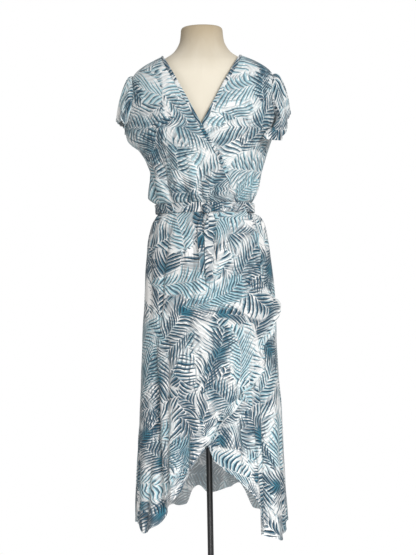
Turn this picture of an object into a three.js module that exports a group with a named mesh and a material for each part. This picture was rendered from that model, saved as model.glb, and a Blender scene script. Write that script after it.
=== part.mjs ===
// A wrap dress on a limbless dress form: cap sleeves, crossed V neck, tied belt and a dipping hem.
// Millimetres, +Z up, the front faces -Y and +X is the wearer's left. The origin is the middle of
// the stand's underside, on the floor.
import * as THREE from 'three';

const degree = Math.PI / 180;

// Driving sizes of the cloth
const wall = 1.2;
const seamGap = 0.36;
const waistSeam = 1056;
const overLayer = 3.9;
const bindingWidth = 8;
const bindingWall = 1;
const layerGap = 0.35;
const beltWidth = 24;
const beltLayer = 6.9;
const loopWidth = 4.5;
const loopX = -77;
const gathersRound = 15;
const gatherDepth = 1.8;
const shoulderEnd = 1451;
const napeHeight = 1467;
const armholeCentre = 1332;
const armholeHalfHeight = 74;
const armholeTurn = 21;

// Driving sizes of the form and its stand
const formTop = 1536;
const formBottom = 820;
const formSection = 32.59;
const poleRadius = 8;
const baseRadius = 165;
const baseThickness = 10;
const collarRadius = 17;
const collarHeight = 34;

const colours = {
  print: 0xc3d2d6,
  printUnder: 0xb4c5ca,
  linen: 0xe6dfcf,
  black: 0x141414,
};

function cloth(colour) {
  return new THREE.MeshStandardMaterial({ color: colour, roughness: 0.85, metalness: 0 });
}

const printCloth = cloth(colours.print);
const printBinding = cloth(colours.printUnder);
const linenCloth = cloth(colours.linen);
const blackPaint = new THREE.MeshStandardMaterial({ color: colours.black, roughness: 0.4, metalness: 0.6 });

// Rings of the dress from the nape to below the hem: the reach from the middle line to the wearer's
// right (left), to the wearer's left (right), forwards and back, and how square the ring is.
const dressRings = [
  { z: 1475, left: 66, right: 70, front: 66, back: 82, square: 2.1 },
  { z: 1462, left: 88, right: 95, front: 75, back: 90, square: 2.1 },
  { z: 1452, left: 107, right: 114, front: 82, back: 95, square: 2.2 },
  { z: 1440, left: 133, right: 142, front: 88, back: 100, square: 2.2 },
  { z: 1425, left: 161, right: 167, front: 94, back: 105, square: 2.3 },
  { z: 1410, left: 178, right: 181, front: 99, back: 108, square: 2.4 },
  { z: 1385, left: 191, right: 192, front: 106, back: 112, square: 2.5 },
  { z: 1335, left: 199, right: 199, front: 117, back: 113, square: 2.6 },
  { z: 1290, left: 200, right: 195, front: 128, back: 109, square: 2.5 },
  { z: 1256, left: 203, right: 187, front: 132, back: 106, square: 2.4 },
  { z: 1238, left: 199, right: 180, front: 132, back: 104, square: 2.3 },
  { z: 1212, left: 170, right: 171, front: 130, back: 101, square: 2.2 },
  { z: 1190, left: 156, right: 164, front: 127, back: 99, square: 2.2 },
  { z: 1150, left: 140, right: 152, front: 120, back: 96, square: 2.1 },
  { z: 1105, left: 144, right: 140, front: 115, back: 94, square: 2.1 },
  { z: 1088, left: 145, right: 133, front: 112, back: 93, square: 2.1 },
  { z: 1076, left: 136, right: 128, front: 104, back: 89, square: 2.1 },
  { z: 1068, left: 123, right: 123, front: 96, back: 85, square: 2.1 },
  { z: 1044, left: 122, right: 123, front: 94, back: 85, square: 2.1 },
  { z: 1034, left: 129, right: 142, front: 98, back: 89, square: 2.1 },
  { z: 1000, left: 143, right: 158, front: 106, back: 100, square: 2.1 },
  { z: 937, left: 155, right: 169, front: 114, back: 118, square: 2.1 },
  { z: 880, left: 160, right: 176, front: 120, back: 124, square: 2.1 },
  { z: 810, left: 162, right: 180, front: 127, back: 128, square: 2.1 },
  { z: 736, left: 168, right: 181, front: 134, back: 132, square: 2.1 },
  { z: 630, left: 174, right: 186, front: 146, back: 139, square: 2.1 },
  { z: 525, left: 179, right: 193, front: 159, back: 147, square: 2.1 },
  { z: 420, left: 187, right: 196, front: 172, back: 156, square: 2.1 },
  { z: 314, left: 193, right: 199, front: 184, back: 165, square: 2.1 },
  { z: 240, left: 196, right: 202, front: 190, back: 171, square: 2.1 },
  { z: 170, left: 197, right: 203, front: 194, back: 175, square: 2.1 },
];

// Rings of the form, even on both sides
const formRings = [
  { z: 1536, side: 54.5, front: 49, back: 54, square: 2 },
  { z: 1515, side: 56, front: 51, back: 57, square: 2 },
  { z: 1498, side: 58.5, front: 53, back: 61, square: 2 },
  { z: 1485, side: 64, front: 57, back: 67, square: 2 },
  { z: 1468, side: 76, front: 63, back: 77, square: 2.1 },
  { z: 1453, side: 98, front: 71, back: 85, square: 2.1 },
  { z: 1440, side: 123.2, front: 78.5, back: 92.6, square: 2.2 },
  { z: 1425, side: 149.8, front: 84.6, back: 97.8, square: 2.2 },
  { z: 1408, side: 168.8, front: 90.6, back: 101.8, square: 2.3 },
  { z: 1388, side: 174, front: 94, back: 102, square: 2.3 },
  { z: 1350, side: 173, front: 103, back: 104, square: 2.3 },
  { z: 1300, side: 163, front: 116, back: 101, square: 2.2 },
  { z: 1250, side: 152, front: 122, back: 97, square: 2.2 },
  { z: 1200, side: 142, front: 115, back: 92, square: 2.1 },
  { z: 1140, side: 127, front: 101, back: 87, square: 2.1 },
  { z: 1090, side: 116, front: 89, back: 82, square: 2.1 },
  { z: 1056, side: 113, front: 84, back: 77, square: 2.1 },
  { z: 1020, side: 120, front: 88, back: 83, square: 2.1 },
  { z: 980, side: 133, front: 96, back: 95, square: 2.1 },
  { z: 930, side: 144, front: 102, back: 108, square: 2.1 },
  { z: 880, side: 148, front: 105, back: 113, square: 2.1 },
  { z: 850, side: 147, front: 103, back: 111, square: 2.1 },
  { z: 832, side: 138, front: 95, back: 101, square: 2.1 },
  { z: 820, side: 120, front: 80, back: 85, square: 2.1 },
];

// Soft folds of the skirt. Each runs from a height and an angle round the wearer down to another,
// growing on the way; width is its half breadth and lift its height, below nought for a trough.
// Angles count from the front, up to 90 at the wearer's left and -90 at the right.
const skirtFolds = [
  { top: 800, angleTop: -59, bottom: 330, angleBottom: -39, width: 15, lift: -17 },
  { top: 900, angleTop: -74, bottom: 300, angleBottom: -60, width: 30, lift: 7 },
  { top: 560, angleTop: -24, bottom: 330, angleBottom: -22, width: 15, lift: -9 },
  { top: 700, angleTop: -31, bottom: 330, angleBottom: -30, width: 20, lift: 9 },
  { top: 620, angleTop: -14, bottom: 400, angleBottom: -12, width: 19, lift: 8 },
  { top: 1020, angleTop: -34, bottom: 820, angleBottom: -30, width: 26, lift: -4 },
  { top: 1020, angleTop: 22, bottom: 800, angleBottom: 18, width: 26, lift: -4 },
  { top: 700, angleTop: 13, bottom: 520, angleBottom: 22, width: 25, lift: 7 },
  { top: 560, angleTop: 20, bottom: 360, angleBottom: 17, width: 18, lift: 7 },
  { top: 560, angleTop: 29, bottom: 330, angleBottom: 27, width: 15, lift: -10 },
  { top: 600, angleTop: 38, bottom: 300, angleBottom: 37, width: 17, lift: 8 },
  { top: 640, angleTop: 54, bottom: 330, angleBottom: 48, width: 15, lift: -17 },
  { top: 800, angleTop: 66, bottom: 300, angleBottom: 61, width: 24, lift: 7 },
  { top: 800, angleTop: 84, bottom: 300, angleBottom: 80, width: 18, lift: -8 },
  { top: 900, angleTop: 104, bottom: 260, angleBottom: 103, width: 24, lift: 8 },
  { top: 860, angleTop: 120, bottom: 300, angleBottom: 121, width: 17, lift: -13 },
  { top: 940, angleTop: 138, bottom: 290, angleBottom: 139, width: 24, lift: 9 },
  { top: 820, angleTop: 154, bottom: 320, angleBottom: 156, width: 16, lift: -11 },
  { top: 900, angleTop: 172, bottom: 310, angleBottom: 171, width: 25, lift: 8 },
  { top: 840, angleTop: 190, bottom: 320, angleBottom: 188, width: 16, lift: -12 },
  { top: 930, angleTop: 206, bottom: 300, angleBottom: 205, width: 23, lift: 9 },
  { top: 860, angleTop: 222, bottom: 290, angleBottom: 224, width: 17, lift: -13 },
  { top: 900, angleTop: 240, bottom: 260, angleBottom: 242, width: 25, lift: 8 },
  { top: 800, angleTop: 260, bottom: 280, angleBottom: 262, width: 18, lift: -8 },
];

// Soft folds of the bodice, rising from the belt and from the bust
const bodiceFolds = [
  { top: 1250, angleTop: -52, bottom: 1085, angleBottom: -50, width: 14, lift: -4 },
  { top: 1230, angleTop: -28, bottom: 1085, angleBottom: -30, width: 13, lift: -3.5 },
  { top: 1180, angleTop: 2, bottom: 1085, angleBottom: -3, width: 14, lift: -3 },
  { top: 1190, angleTop: 26, bottom: 1085, angleBottom: 24, width: 13, lift: -3.5 },
  { top: 1250, angleTop: 50, bottom: 1085, angleBottom: 47, width: 14, lift: -4 },
  { top: 1230, angleTop: -78, bottom: 1085, angleBottom: -72, width: 14, lift: 4 },
  { top: 1220, angleTop: 76, bottom: 1085, angleBottom: 72, width: 13, lift: 4 },
  { top: 1240, angleTop: 112, bottom: 1085, angleBottom: 110, width: 14, lift: -4 },
  { top: 1200, angleTop: 142, bottom: 1085, angleBottom: 140, width: 15, lift: 3 },
  { top: 1250, angleTop: 168, bottom: 1085, angleBottom: 166, width: 14, lift: -4 },
  { top: 1210, angleTop: 196, bottom: 1085, angleBottom: 197, width: 15, lift: 3 },
  { top: 1240, angleTop: 226, bottom: 1085, angleBottom: 228, width: 14, lift: -4 },
  { top: 1200, angleTop: 252, bottom: 1085, angleBottom: 250, width: 14, lift: 3 },
];

// Rows of points beside the belt, above and below the waist seam, where the cloth bellies out
const beltRows = [
  { away: 0 },
  { away: 13 },
  { away: 20 },
  { away: 30 },
];

// The crossed necklines and the wrap edges: across the body at each height
const overNeckline = [
  { z: 1456, x: -104 },
  { z: 1400, x: -74 },
  { z: 1271, x: -8 },
  { z: 1232, x: 14 },
  { z: 1199, x: 34 },
  { z: 1166, x: 51 },
  { z: 1130, x: 62 },
  { z: 1095, x: 76 },
  { z: 1050, x: 96 },
];
const underNeckline = [
  { z: 1459, x: 101 },
  { z: 1400, x: 68 },
  { z: 1283, x: 5 },
  { z: 1232, x: -20 },
  { z: 1166, x: -48 },
  { z: 1095, x: -70 },
  { z: 1050, x: -84 },
];
const overWrapEdge = [
  { z: 1056, x: 96 },
  { z: 1040, x: 104 },
  { z: 997, x: 127 },
  { z: 940, x: 133 },
  { z: 884, x: 133 },
  { z: 830, x: 153 },
  { z: 781, x: 168 },
  { z: 738, x: 160 },
  { z: 690, x: 141 },
  { z: 635, x: 134 },
  { z: 605, x: 117 },
  { z: 585, x: 86 },
  { z: 550, x: 70 },
  { z: 521, x: 46 },
  { z: 492, x: 24 },
  { z: 466, x: 5 },
  { z: 447, x: -14 },
];
const underWrapEdge = [
  { z: 1056, x: -82 },
  { z: 997, x: -104 },
  { z: 884, x: -112 },
  { z: 781, x: -104 },
  { z: 690, x: -84 },
  { z: 605, x: -54 },
  { z: 521, x: -22 },
  { z: 452, x: 4 },
];

// Where the free wrap edge stands off in soft frills
const edgeFrills = [
  { z: 985, reach: 26, lift: 2.5 },
  { z: 915, reach: 30, lift: 3.5 },
  { z: 800, reach: 34, lift: 25 },
  { z: 738, reach: 24, lift: 12 },
  { z: 650, reach: 30, lift: 8 },
  { z: 580, reach: 22, lift: 11 },
  { z: 520, reach: 18, lift: 8 },
  { z: 470, reach: 14, lift: 7 },
];

// The dipping hem: how high each stretch hangs, by its angle round the wearer
const overHem = [
  { angle: -90, z: 233 },
  { angle: -78, z: 246 },
  { angle: -66, z: 250 },
  { angle: -60, z: 245 },
  { angle: -56, z: 227 },
  { angle: -50, z: 237 },
  { angle: -45, z: 248 },
  { angle: -41, z: 262 },
  { angle: -39, z: 290 },
  { angle: -35, z: 313 },
  { angle: -28, z: 322 },
  { angle: -23, z: 352 },
  { angle: -18, z: 386 },
  { angle: -11, z: 418 },
  { angle: -4, z: 447 },
];
const underHem = [
  { angle: 1, z: 452 },
  { angle: 4, z: 416 },
  { angle: 8, z: 405 },
  { angle: 13, z: 392 },
  { angle: 20, z: 376 },
  { angle: 25, z: 361 },
  { angle: 30, z: 346 },
  { angle: 34, z: 328 },
  { angle: 38, z: 302 },
  { angle: 41, z: 272 },
  { angle: 44, z: 224 },
  { angle: 52, z: 212 },
  { angle: 61, z: 200 },
  { angle: 72, z: 214 },
  { angle: 90, z: 240 },
];
const backHem = [
  { angle: 90, z: 240 },
  { angle: 110, z: 216 },
  { angle: 128, z: 234 },
  { angle: 141, z: 236 },
  { angle: 147, z: 292 },
  { angle: 151, z: 308 },
  { angle: 160, z: 295 },
  { angle: 180, z: 277 },
  { angle: 191, z: 301 },
  { angle: 195, z: 292 },
  { angle: 201, z: 247 },
  { angle: 207, z: 244 },
  { angle: 216, z: 252 },
  { angle: 228, z: 240 },
  { angle: 250, z: 216 },
  { angle: 270, z: 233 },
];

// Sleeve hems, round the armhole from the shoulder (0) by the front (90) and the underarm (180)
const rightSleeveHem = [
  { turn: 0, x: -226, y: 0, z: 1290 },
  { turn: 45, x: -222, y: -42, z: 1284 },
  { turn: 90, x: -208, y: -62, z: 1284 },
  { turn: 135, x: -205, y: -44, z: 1266 },
  { turn: 180, x: -208, y: 0, z: 1256 },
  { turn: 225, x: -207, y: 40, z: 1264 },
  { turn: 270, x: -211, y: 60, z: 1280 },
  { turn: 315, x: -222, y: 42, z: 1286 },
  { turn: 360, x: -226, y: 0, z: 1290 },
];
const leftSleeveHem = [
  { turn: 0, x: 227, y: 0, z: 1304 },
  { turn: 45, x: 223, y: -44, z: 1294 },
  { turn: 75, x: 210, y: -74, z: 1248 },
  { turn: 92, x: 202, y: -87, z: 1229 },
  { turn: 106, x: 194, y: -95, z: 1223 },
  { turn: 126, x: 171, y: -103, z: 1224 },
  { turn: 145, x: 154, y: -97, z: 1230 },
  { turn: 163, x: 178, y: -58, z: 1240 },
  { turn: 180, x: 199, y: 0, z: 1240 },
  { turn: 225, x: 206, y: 42, z: 1244 },
  { turn: 270, x: 213, y: 62, z: 1262 },
  { turn: 315, x: 223, y: 46, z: 1290 },
  { turn: 360, x: 227, y: 0, z: 1304 },
];
const sleeveCut = {
  right: { side: -1, hem: rightSleeveHem, reach: 16, rise: 44 },
  left: { side: 1, hem: leftSleeveHem, reach: 22, rise: 40 },
};
const sleeveSeamLift = 0.9;
const sleeveGathers = 11;
const sleeveGatherDepth = 2.2;

function mix(a, b, t) {
  return a + (b - a) * t;
}

function ease(low, high, value) {
  const t = Math.min(1, Math.max(0, (value - low) / (high - low)));
  return t * t * (3 - 2 * t);
}

// A smooth curve through one column of a table, with no overshoot between rows
function column(table, key, name) {
  const rows = [...table].sort((a, b) => a[key] - b[key]);
  const slopes = rows.slice(1).map((row, i) => (row[name] - rows[i][name]) / (row[key] - rows[i][key]));
  const tangents = rows.map((row, i) => {
    const before = slopes[Math.max(0, i - 1)];
    const after = slopes[Math.min(slopes.length - 1, i)];
    return before * after <= 0 ? 0 : (2 * before * after) / (before + after);
  });
  const last = rows.length - 1;
  return (value) => {
    if (value <= rows[0][key]) return rows[0][name];
    if (value >= rows[last][key]) return rows[last][name];
    let i = 0;
    while (value > rows[i + 1][key]) i += 1;
    const span = rows[i + 1][key] - rows[i][key];
    const t = (value - rows[i][key]) / span;
    const bend = t * t * (3 - 2 * t);
    const start = t * (1 - t) * (1 - t) * span * tangents[i];
    const end = t * t * (t - 1) * span * tangents[i + 1];
    return mix(rows[i][name], rows[i + 1][name], bend) + start + end;
  };
}

const dress = {
  left: column(dressRings, 'z', 'left'),
  right: column(dressRings, 'z', 'right'),
  front: column(dressRings, 'z', 'front'),
  back: column(dressRings, 'z', 'back'),
  square: column(dressRings, 'z', 'square'),
};
const form = {
  left: column(formRings, 'z', 'side'),
  right: column(formRings, 'z', 'side'),
  front: column(formRings, 'z', 'front'),
  back: column(formRings, 'z', 'back'),
  square: column(formRings, 'z', 'square'),
};
const neckX = { over: column(overNeckline, 'z', 'x'), under: column(underNeckline, 'z', 'x') };
const wrapX = { over: column(overWrapEdge, 'z', 'x'), under: column(underWrapEdge, 'z', 'x') };
const hemZ = {
  over: column(overHem, 'angle', 'z'),
  under: column(underHem, 'angle', 'z'),
  back: column(backHem, 'angle', 'z'),
};

// How far a ring reaches from the middle line at an angle
function ringRadius(rings, angle, z) {
  const s = Math.sin(angle * degree);
  const c = Math.cos(angle * degree);
  const side = s < 0 ? rings.left(z) : rings.right(z);
  const depth = c > 0 ? rings.front(z) : rings.back(z);
  const power = rings.square(z);
  return (Math.abs(s / side) ** power + Math.abs(c / depth) ** power) ** (-1 / power);
}

function foldSum(folds, angle, z, radius, fadeAbove) {
  let sum = 0;
  for (const fold of folds) {
    const way = (fold.top - z) / (fold.top - fold.bottom);
    const growth = ease(0, 1, way) * fadeAbove;
    const turned = ((angle - mix(fold.angleTop, fold.angleBottom, way) + 540) % 360) - 180;
    const across = (turned * degree * radius) / fold.width;
    if (growth > 0 && Math.abs(across) < 3) sum += fold.lift * growth * Math.exp(-across * across);
  }
  return sum;
}

// Small gathers that the belt draws up, fading above and below it
function waistGathers(angle, z) {
  const above = ease(waistSeam + 12, waistSeam + 32, z) * (1 - ease(waistSeam + 40, waistSeam + 120, z));
  const below = (1 - ease(waistSeam - 34, waistSeam - 14, z)) * ease(waistSeam - 170, waistSeam - 40, z);
  const turn = angle * degree;
  const ripple = Math.sin(gathersRound * turn + 1.6 * Math.sin(3 * turn));
  return ripple * gatherDepth * (above + 0.8 * below);
}

function clothSurface(angle, z) {
  const radius = ringRadius(dress, angle, z);
  const aboveBelt = ease(waistSeam + 10, waistSeam + 32, z);
  const folds = z > waistSeam
    ? foldSum(bodiceFolds, angle, z, radius, aboveBelt)
    : foldSum(skirtFolds, angle, z, radius, 1);
  const reach = radius + folds + waistGathers(angle, z);
  return new THREE.Vector3(reach * Math.sin(angle * degree), -reach * Math.cos(angle * degree), z);
}

// A point of a layer of cloth: on the dress's surface, moved out square to it
function clothPoint(angle, z, layer) {
  const along = clothSurface(angle + 1, z).sub(clothSurface(angle - 1, z));
  const up = clothSurface(angle, z + 3).sub(clothSurface(angle, z - 3));
  return clothSurface(angle, z).addScaledVector(along.cross(up).normalize(), layer);
}

// The angle at which the dress's front lies at x
function frontAngle(x, z) {
  const side = x < 0 ? dress.left(z) : dress.right(z);
  const power = dress.square(z);
  const share = Math.min(0.999, Math.abs(x / side));
  const forward = dress.front(z) * (1 - share ** power) ** (1 / power);
  return Math.atan2(x, forward) / degree;
}

// How far the armhole cuts in from the side line at a height
function armholeTurnAt(z) {
  const rise = (z - armholeCentre) / armholeHalfHeight;
  return Math.abs(rise) >= 1 ? 0 : armholeTurn * Math.sqrt(1 - rise * rise);
}

// Half the seam gap, as an angle at the side line
function gapAngle(z) {
  return (seamGap / 2 / Math.min(dress.left(z), dress.right(z))) / degree;
}

// One closed body from inner and outer points set out in rows and columns
function bodyFromGrid(inner, outer, ringClosed) {
  const rows = inner.length;
  const columns = inner[0].length;
  const flat = [...inner.flat(), ...outer.flat()];
  const positions = new Float32Array(flat.length * 3);
  flat.forEach((point, i) => point.toArray(positions, i * 3));
  const at = (layer, row, col) => layer * rows * columns + row * columns + (col % columns);
  const indices = [];
  const quad = (a, b, c, d) => indices.push(a, b, c, a, c, d);
  const spans = ringClosed ? columns : columns - 1;
  for (let col = 0; col < spans; col += 1) {
    for (let row = 0; row + 1 < rows; row += 1) {
      quad(at(1, row, col), at(1, row, col + 1), at(1, row + 1, col + 1), at(1, row + 1, col));
      quad(at(0, row, col), at(0, row + 1, col), at(0, row + 1, col + 1), at(0, row, col + 1));
    }
    quad(at(0, 0, col), at(0, 0, col + 1), at(1, 0, col + 1), at(1, 0, col));
    const end = rows - 1;
    quad(at(0, end, col), at(1, end, col), at(1, end, col + 1), at(0, end, col + 1));
  }
  if (!ringClosed) {
    for (let row = 0; row + 1 < rows; row += 1) {
      const end = columns - 1;
      quad(at(0, row, 0), at(1, row, 0), at(1, row + 1, 0), at(0, row + 1, 0));
      quad(at(0, row, end), at(0, row + 1, end), at(1, row + 1, end), at(1, row, end));
    }
  }
  return facingOut(positions, indices);
}

function facingOut(positions, indices) {
  let volume = 0;
  const corner = (i) => new THREE.Vector3().fromArray(positions, i * 3);
  for (let i = 0; i < indices.length; i += 3) {
    const a = corner(indices[i]);
    volume += a.dot(corner(indices[i + 1]).cross(corner(indices[i + 2])));
  }
  if (volume < 0) {
    for (let i = 0; i < indices.length; i += 3) {
      [indices[i + 1], indices[i + 2]] = [indices[i + 2], indices[i + 1]];
    }
  }
  const geometry = new THREE.BufferGeometry();
  geometry.setAttribute('position', new THREE.BufferAttribute(positions, 3));
  geometry.setIndex(indices);
  geometry.computeVertexNormals();
  return geometry;
}

// The places of a panel's points, each an angle, a height and a layer, in rows and columns
function placesOf(columns, rows, place) {
  const grid = [];
  for (let row = 0; row <= rows; row += 1) {
    grid.push([]);
    for (let col = 0; col <= columns; col += 1) grid[row].push(place(col, row));
  }
  return grid;
}

// A wall of cloth through such places, on the dress's surface
function clothWall(places, thickness) {
  const inner = places.map((row) => row.map((spot) => clothPoint(spot.angle, spot.z, spot.layer)));
  const outer = places.map((row) => row.map((spot) => clothPoint(spot.angle, spot.z, spot.layer + thickness)));
  return bodyFromGrid(inner, outer, false);
}

// A binding laid on a part of a panel: the panel's own places, moved out
function bindingOn(places) {
  const lift = wall + layerGap;
  return clothWall(places.map((row) => row.map((spot) => ({ ...spot, layer: spot.layer + lift }))), bindingWall);
}

// Values from one to another, evenly apart along the path that pointAt draws
function evenSteps(from, to, steps, pointAt) {
  const count = 80;
  const lengths = [0];
  for (let i = 1; i <= count; i += 1) {
    const here = pointAt(mix(from, to, i / count));
    lengths.push(lengths[i - 1] + here.distanceTo(pointAt(mix(from, to, (i - 1) / count))));
  }
  const values = [];
  let i = 0;
  for (let step = 0; step <= steps; step += 1) {
    const goal = (step / steps) * lengths[count];
    while (i < count - 1 && lengths[i + 1] < goal) i += 1;
    const part = (goal - lengths[i]) / (lengths[i + 1] - lengths[i]);
    values.push(mix(from, to, (i + part) / count));
  }
  return values;
}

// The over panels lie on the under ones, and come down to the back's layer at the side seam
function overLayerAt(angle) {
  return overLayer * ease(-87, -66, angle);
}

// Bodice: two fronts that cross and one back
const bodiceLow = waistSeam + seamGap / 2;
const bodiceRows = 19;
const heights = [
  bodiceLow,
  ...beltRows.slice(1, -1).map((row) => waistSeam + row.away),
  ...evenSteps(waistSeam + beltRows.at(-1).away, shoulderEnd, bodiceRows + 1 - beltRows.length, (z) => clothSurface(80, z)),
];

function frontOuterAngle(side, z) {
  return side * (90 - gapAngle(z) - armholeTurnAt(z));
}

// The last column of a front is as wide as the binding of its neckline
function bodiceFrontPlaces(side) {
  const edge = side < 0 ? neckX.over : neckX.under;
  const columns = 15;
  return placesOf(columns, bodiceRows, (col, row) => {
    const z = heights[row];
    const seam = frontOuterAngle(side, z);
    const rim = frontAngle(edge(z), z);
    const slant = Math.hypot(1, (edge(z + 5) - edge(z - 5)) / 10);
    const narrow = Math.min(bindingWidth * slant, Math.abs(seam - rim) * degree * ringRadius(dress, rim, z) * 0.5);
    const inset = rim + (side * narrow) / ringRadius(dress, rim, z) / degree;
    const angle = col === columns ? rim : mix(seam, inset, col / (columns - 1));
    return { angle, z, layer: side < 0 ? overLayerAt(angle) : 0 };
  });
}

// The last row of the back is as deep as its binding
function bodiceBackPlaces() {
  const columns = 22;
  return placesOf(columns, bodiceRows, (col, row) => {
    const u = col / columns;
    const bow = Math.sin(u * Math.PI) ** 0.7;
    const raised = (side) => mix(side, mix(bodiceLow, napeHeight, (side - bodiceLow) / (shoulderEnd - bodiceLow)), bow);
    const side = heights[row];
    const inset = raised(shoulderEnd) - mix(0.55, 0.85, bow) * bindingWidth;
    const z = row === bodiceRows - 1 ? inset : raised(side);
    const cutIn = gapAngle(side) + armholeTurnAt(side);
    return { angle: mix(90 + cutIn, 270 - cutIn, u), z, layer: 0 };
  });
}

const overFrontPlaces = bodiceFrontPlaces(-1);
const underFrontPlaces = bodiceFrontPlaces(1);
const backPlaces = bodiceBackPlaces();

function neckBinding(places) {
  return bindingOn(places.map((row) => row.slice(-2)));
}

// Cap sleeves: tubes from the armhole to a hem that hangs over the shoulder
function sleeve(cut) {
  const turns = 28;
  const steps = 5;
  const hem = {
    x: column(cut.hem, 'turn', 'x'),
    y: column(cut.hem, 'turn', 'y'),
    z: column(cut.hem, 'turn', 'z'),
  };
  const spot = (turn, along) => {
    const phi = ((turn + 360) % 360) * degree;
    const rise = Math.cos(phi) * 0.994;
    const z = armholeCentre + armholeHalfHeight * rise;
    const turnIn = armholeTurnAt(z) * Math.sign(Math.sin(phi));
    const rootAngle = cut.side * (90 - turnIn);
    const frontLayer = cut.side < 0 && turnIn > 0 ? overLayerAt(rootAngle) : 0;
    const root = clothPoint(rootAngle, z, wall + sleeveSeamLift + frontLayer);
    const end = new THREE.Vector3(hem.x(phi / degree), hem.y(phi / degree), hem.z(phi / degree));
    const length = root.distanceTo(end);
    const away = new THREE.Vector3(cut.side * 0.86, -0.5 * Math.sin(phi), 0.5 * Math.cos(phi));
    const first = root.clone().addScaledVector(away, Math.min(cut.reach, length * 0.4));
    const second = end.clone();
    second.z += Math.min(cut.rise, length * 0.4);
    const path = new THREE.CubicBezierCurve3(root, first, second, end);
    const point = path.getPoint(along);
    const gather = Math.sin(phi * sleeveGathers) * sleeveGatherDepth * ease(0, 0.3, along);
    const size = Math.min(1, length / 60);
    const outwards = new THREE.Vector3(cut.side * 0.7, -0.7 * Math.sin(phi), 0.3 * Math.cos(phi));
    return point.addScaledVector(outwards, gather * size);
  };
  const inner = [];
  const outer = [];
  for (let row = 0; row <= steps; row += 1) {
    inner.push([]);
    outer.push([]);
    for (let col = 0; col < turns; col += 1) {
      const turn = (col / turns) * 360;
      const along = row / steps;
      const here = spot(turn, along);
      const round = spot(turn + 4, along).sub(spot(turn - 4, along));
      const down = spot(turn, Math.min(1, along + 0.03)).sub(spot(turn, Math.max(0, along - 0.03)));
      const square = down.cross(round).normalize().multiplyScalar(cut.side);
      inner[row].push(here);
      outer[row].push(here.clone().addScaledVector(square, wall));
    }
  }
  return bodyFromGrid(inner, outer, true);
}

// Skirt: a back and two fronts that wrap, all hanging from the waist to the dipping hem
const skirtTop = waistSeam - seamGap / 2;
const skirtRows = 19;

// The rows are even along the free wrap edge, so they lie closer where it runs sideways
const belowBelt = waistSeam - beltRows.at(-1).away;
const wrapCorner = overWrapEdge.at(-1).z;
const wrapRows = evenSteps(belowBelt, wrapCorner, skirtRows + 1 - beltRows.length, (z) => (
  new THREE.Vector3(wrapX.over(z), 0, z)
));

function skirtHeight(row, hem) {
  if (row === 0) return skirtTop;
  const last = beltRows.length - 1;
  if (row <= last) return waistSeam - beltRows[row].away;
  return mix(hem, belowBelt, (wrapRows[row - last] - wrapCorner) / (belowBelt - wrapCorner));
}

function skirtFront(side) {
  const isOver = side < 0;
  const edge = isOver ? wrapX.over : wrapX.under;
  const hem = isOver ? hemZ.over : hemZ.under;
  const corner = isOver ? overWrapEdge.at(-1) : underWrapEdge.at(-1);
  const cornerAngle = frontAngle(corner.x, corner.z);
  const columns = 28;
  return clothWall(placesOf(columns, skirtRows, (col, row) => {
    const u = col / columns;
    const edgeZ = skirtHeight(row, corner.z);
    const seam = side * (90 - gapAngle(edgeZ));
    const z = skirtHeight(row, u < 1 ? hem(mix(seam, cornerAngle, u)) : corner.z);
    const angle = mix(seam, frontAngle(edge(edgeZ), edgeZ), u);
    return { angle, z, layer: isOver ? overLayerAt(angle) + frill(u, z) : 0 };
  }), wall);
}

function frill(u, z) {
  let lift = 0;
  for (const bump of edgeFrills) lift += bump.lift * Math.exp(-(((z - bump.z) / bump.reach) ** 2));
  return lift * ease(0.86, 1, u);
}

function skirtBack() {
  const columns = 34;
  return clothWall(placesOf(columns, skirtRows, (col, row) => {
    const angle = mix(90, 270, col / columns);
    const z = skirtHeight(row, hemZ.back(angle));
    return { angle: mix(90 + gapAngle(z), 270 - gapAngle(z), col / columns), z, layer: 0 };
  }), wall);
}

// Belt, its loop and the tie
function belt() {
  const turns = 54;
  const inner = [];
  const outer = [];
  for (let row = 0; row <= 2; row += 1) {
    inner.push([]);
    outer.push([]);
    const z = waistSeam - beltWidth / 2 + (beltWidth * row) / 2;
    for (let col = 0; col < turns; col += 1) {
      const angle = (col / turns) * 360;
      inner[row].push(clothPoint(angle, z, beltLayer));
      outer[row].push(clothPoint(angle, z, beltLayer + wall));
    }
  }
  return bodyFromGrid(inner, outer, true);
}

function beltLoop() {
  const turnMiddle = frontAngle(loopX, waistSeam);
  const halfTurn = (loopWidth / 2 / ringRadius(dress, turnMiddle, waistSeam)) / degree;
  return clothWall(placesOf(1, 2, (col, row) => {
    const z = waistSeam + (beltWidth / 2) * (row - 1);
    const angle = turnMiddle + halfTurn * (2 * col - 1);
    return { angle, z, layer: beltLayer + wall + layerGap };
  }), wall);
}

// The half knot: a plump pad with a slanting turn of cloth round it
const knotMiddle = new THREE.Vector3(5, 0, waistSeam - 4);
const knotSize = { width: 27, depth: 13, height: 25 };

function knot() {
  const turns = 18;
  const steps = 10;
  const front = clothPoint(frontAngle(knotMiddle.x, knotMiddle.z), knotMiddle.z, beltLayer + wall);
  const middleY = front.y - knotSize.depth / 2 - 0.5;
  const points = [];
  for (let row = 0; row <= steps; row += 1) {
    const lat = (row / steps - 0.5) * Math.PI;
    points.push([]);
    for (let col = 0; col < turns; col += 1) {
      const lon = (col / turns) * Math.PI * 2;
      const groove = 1 - 0.1 * Math.exp(-(((Math.sin(lat) - 0.6 * Math.cos(lon)) / 0.22) ** 2));
      const ring = Math.cos(lat) ** 0.8 * groove;
      points[row].push(new THREE.Vector3(
        knotMiddle.x + (knotSize.width / 2) * ring * Math.cos(lon),
        middleY + (knotSize.depth / 2) * ring * Math.sin(lon),
        knotMiddle.z + (knotSize.height / 2) * Math.sin(lat),
      ));
    }
  }
  return closedStack(points);
}

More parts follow.
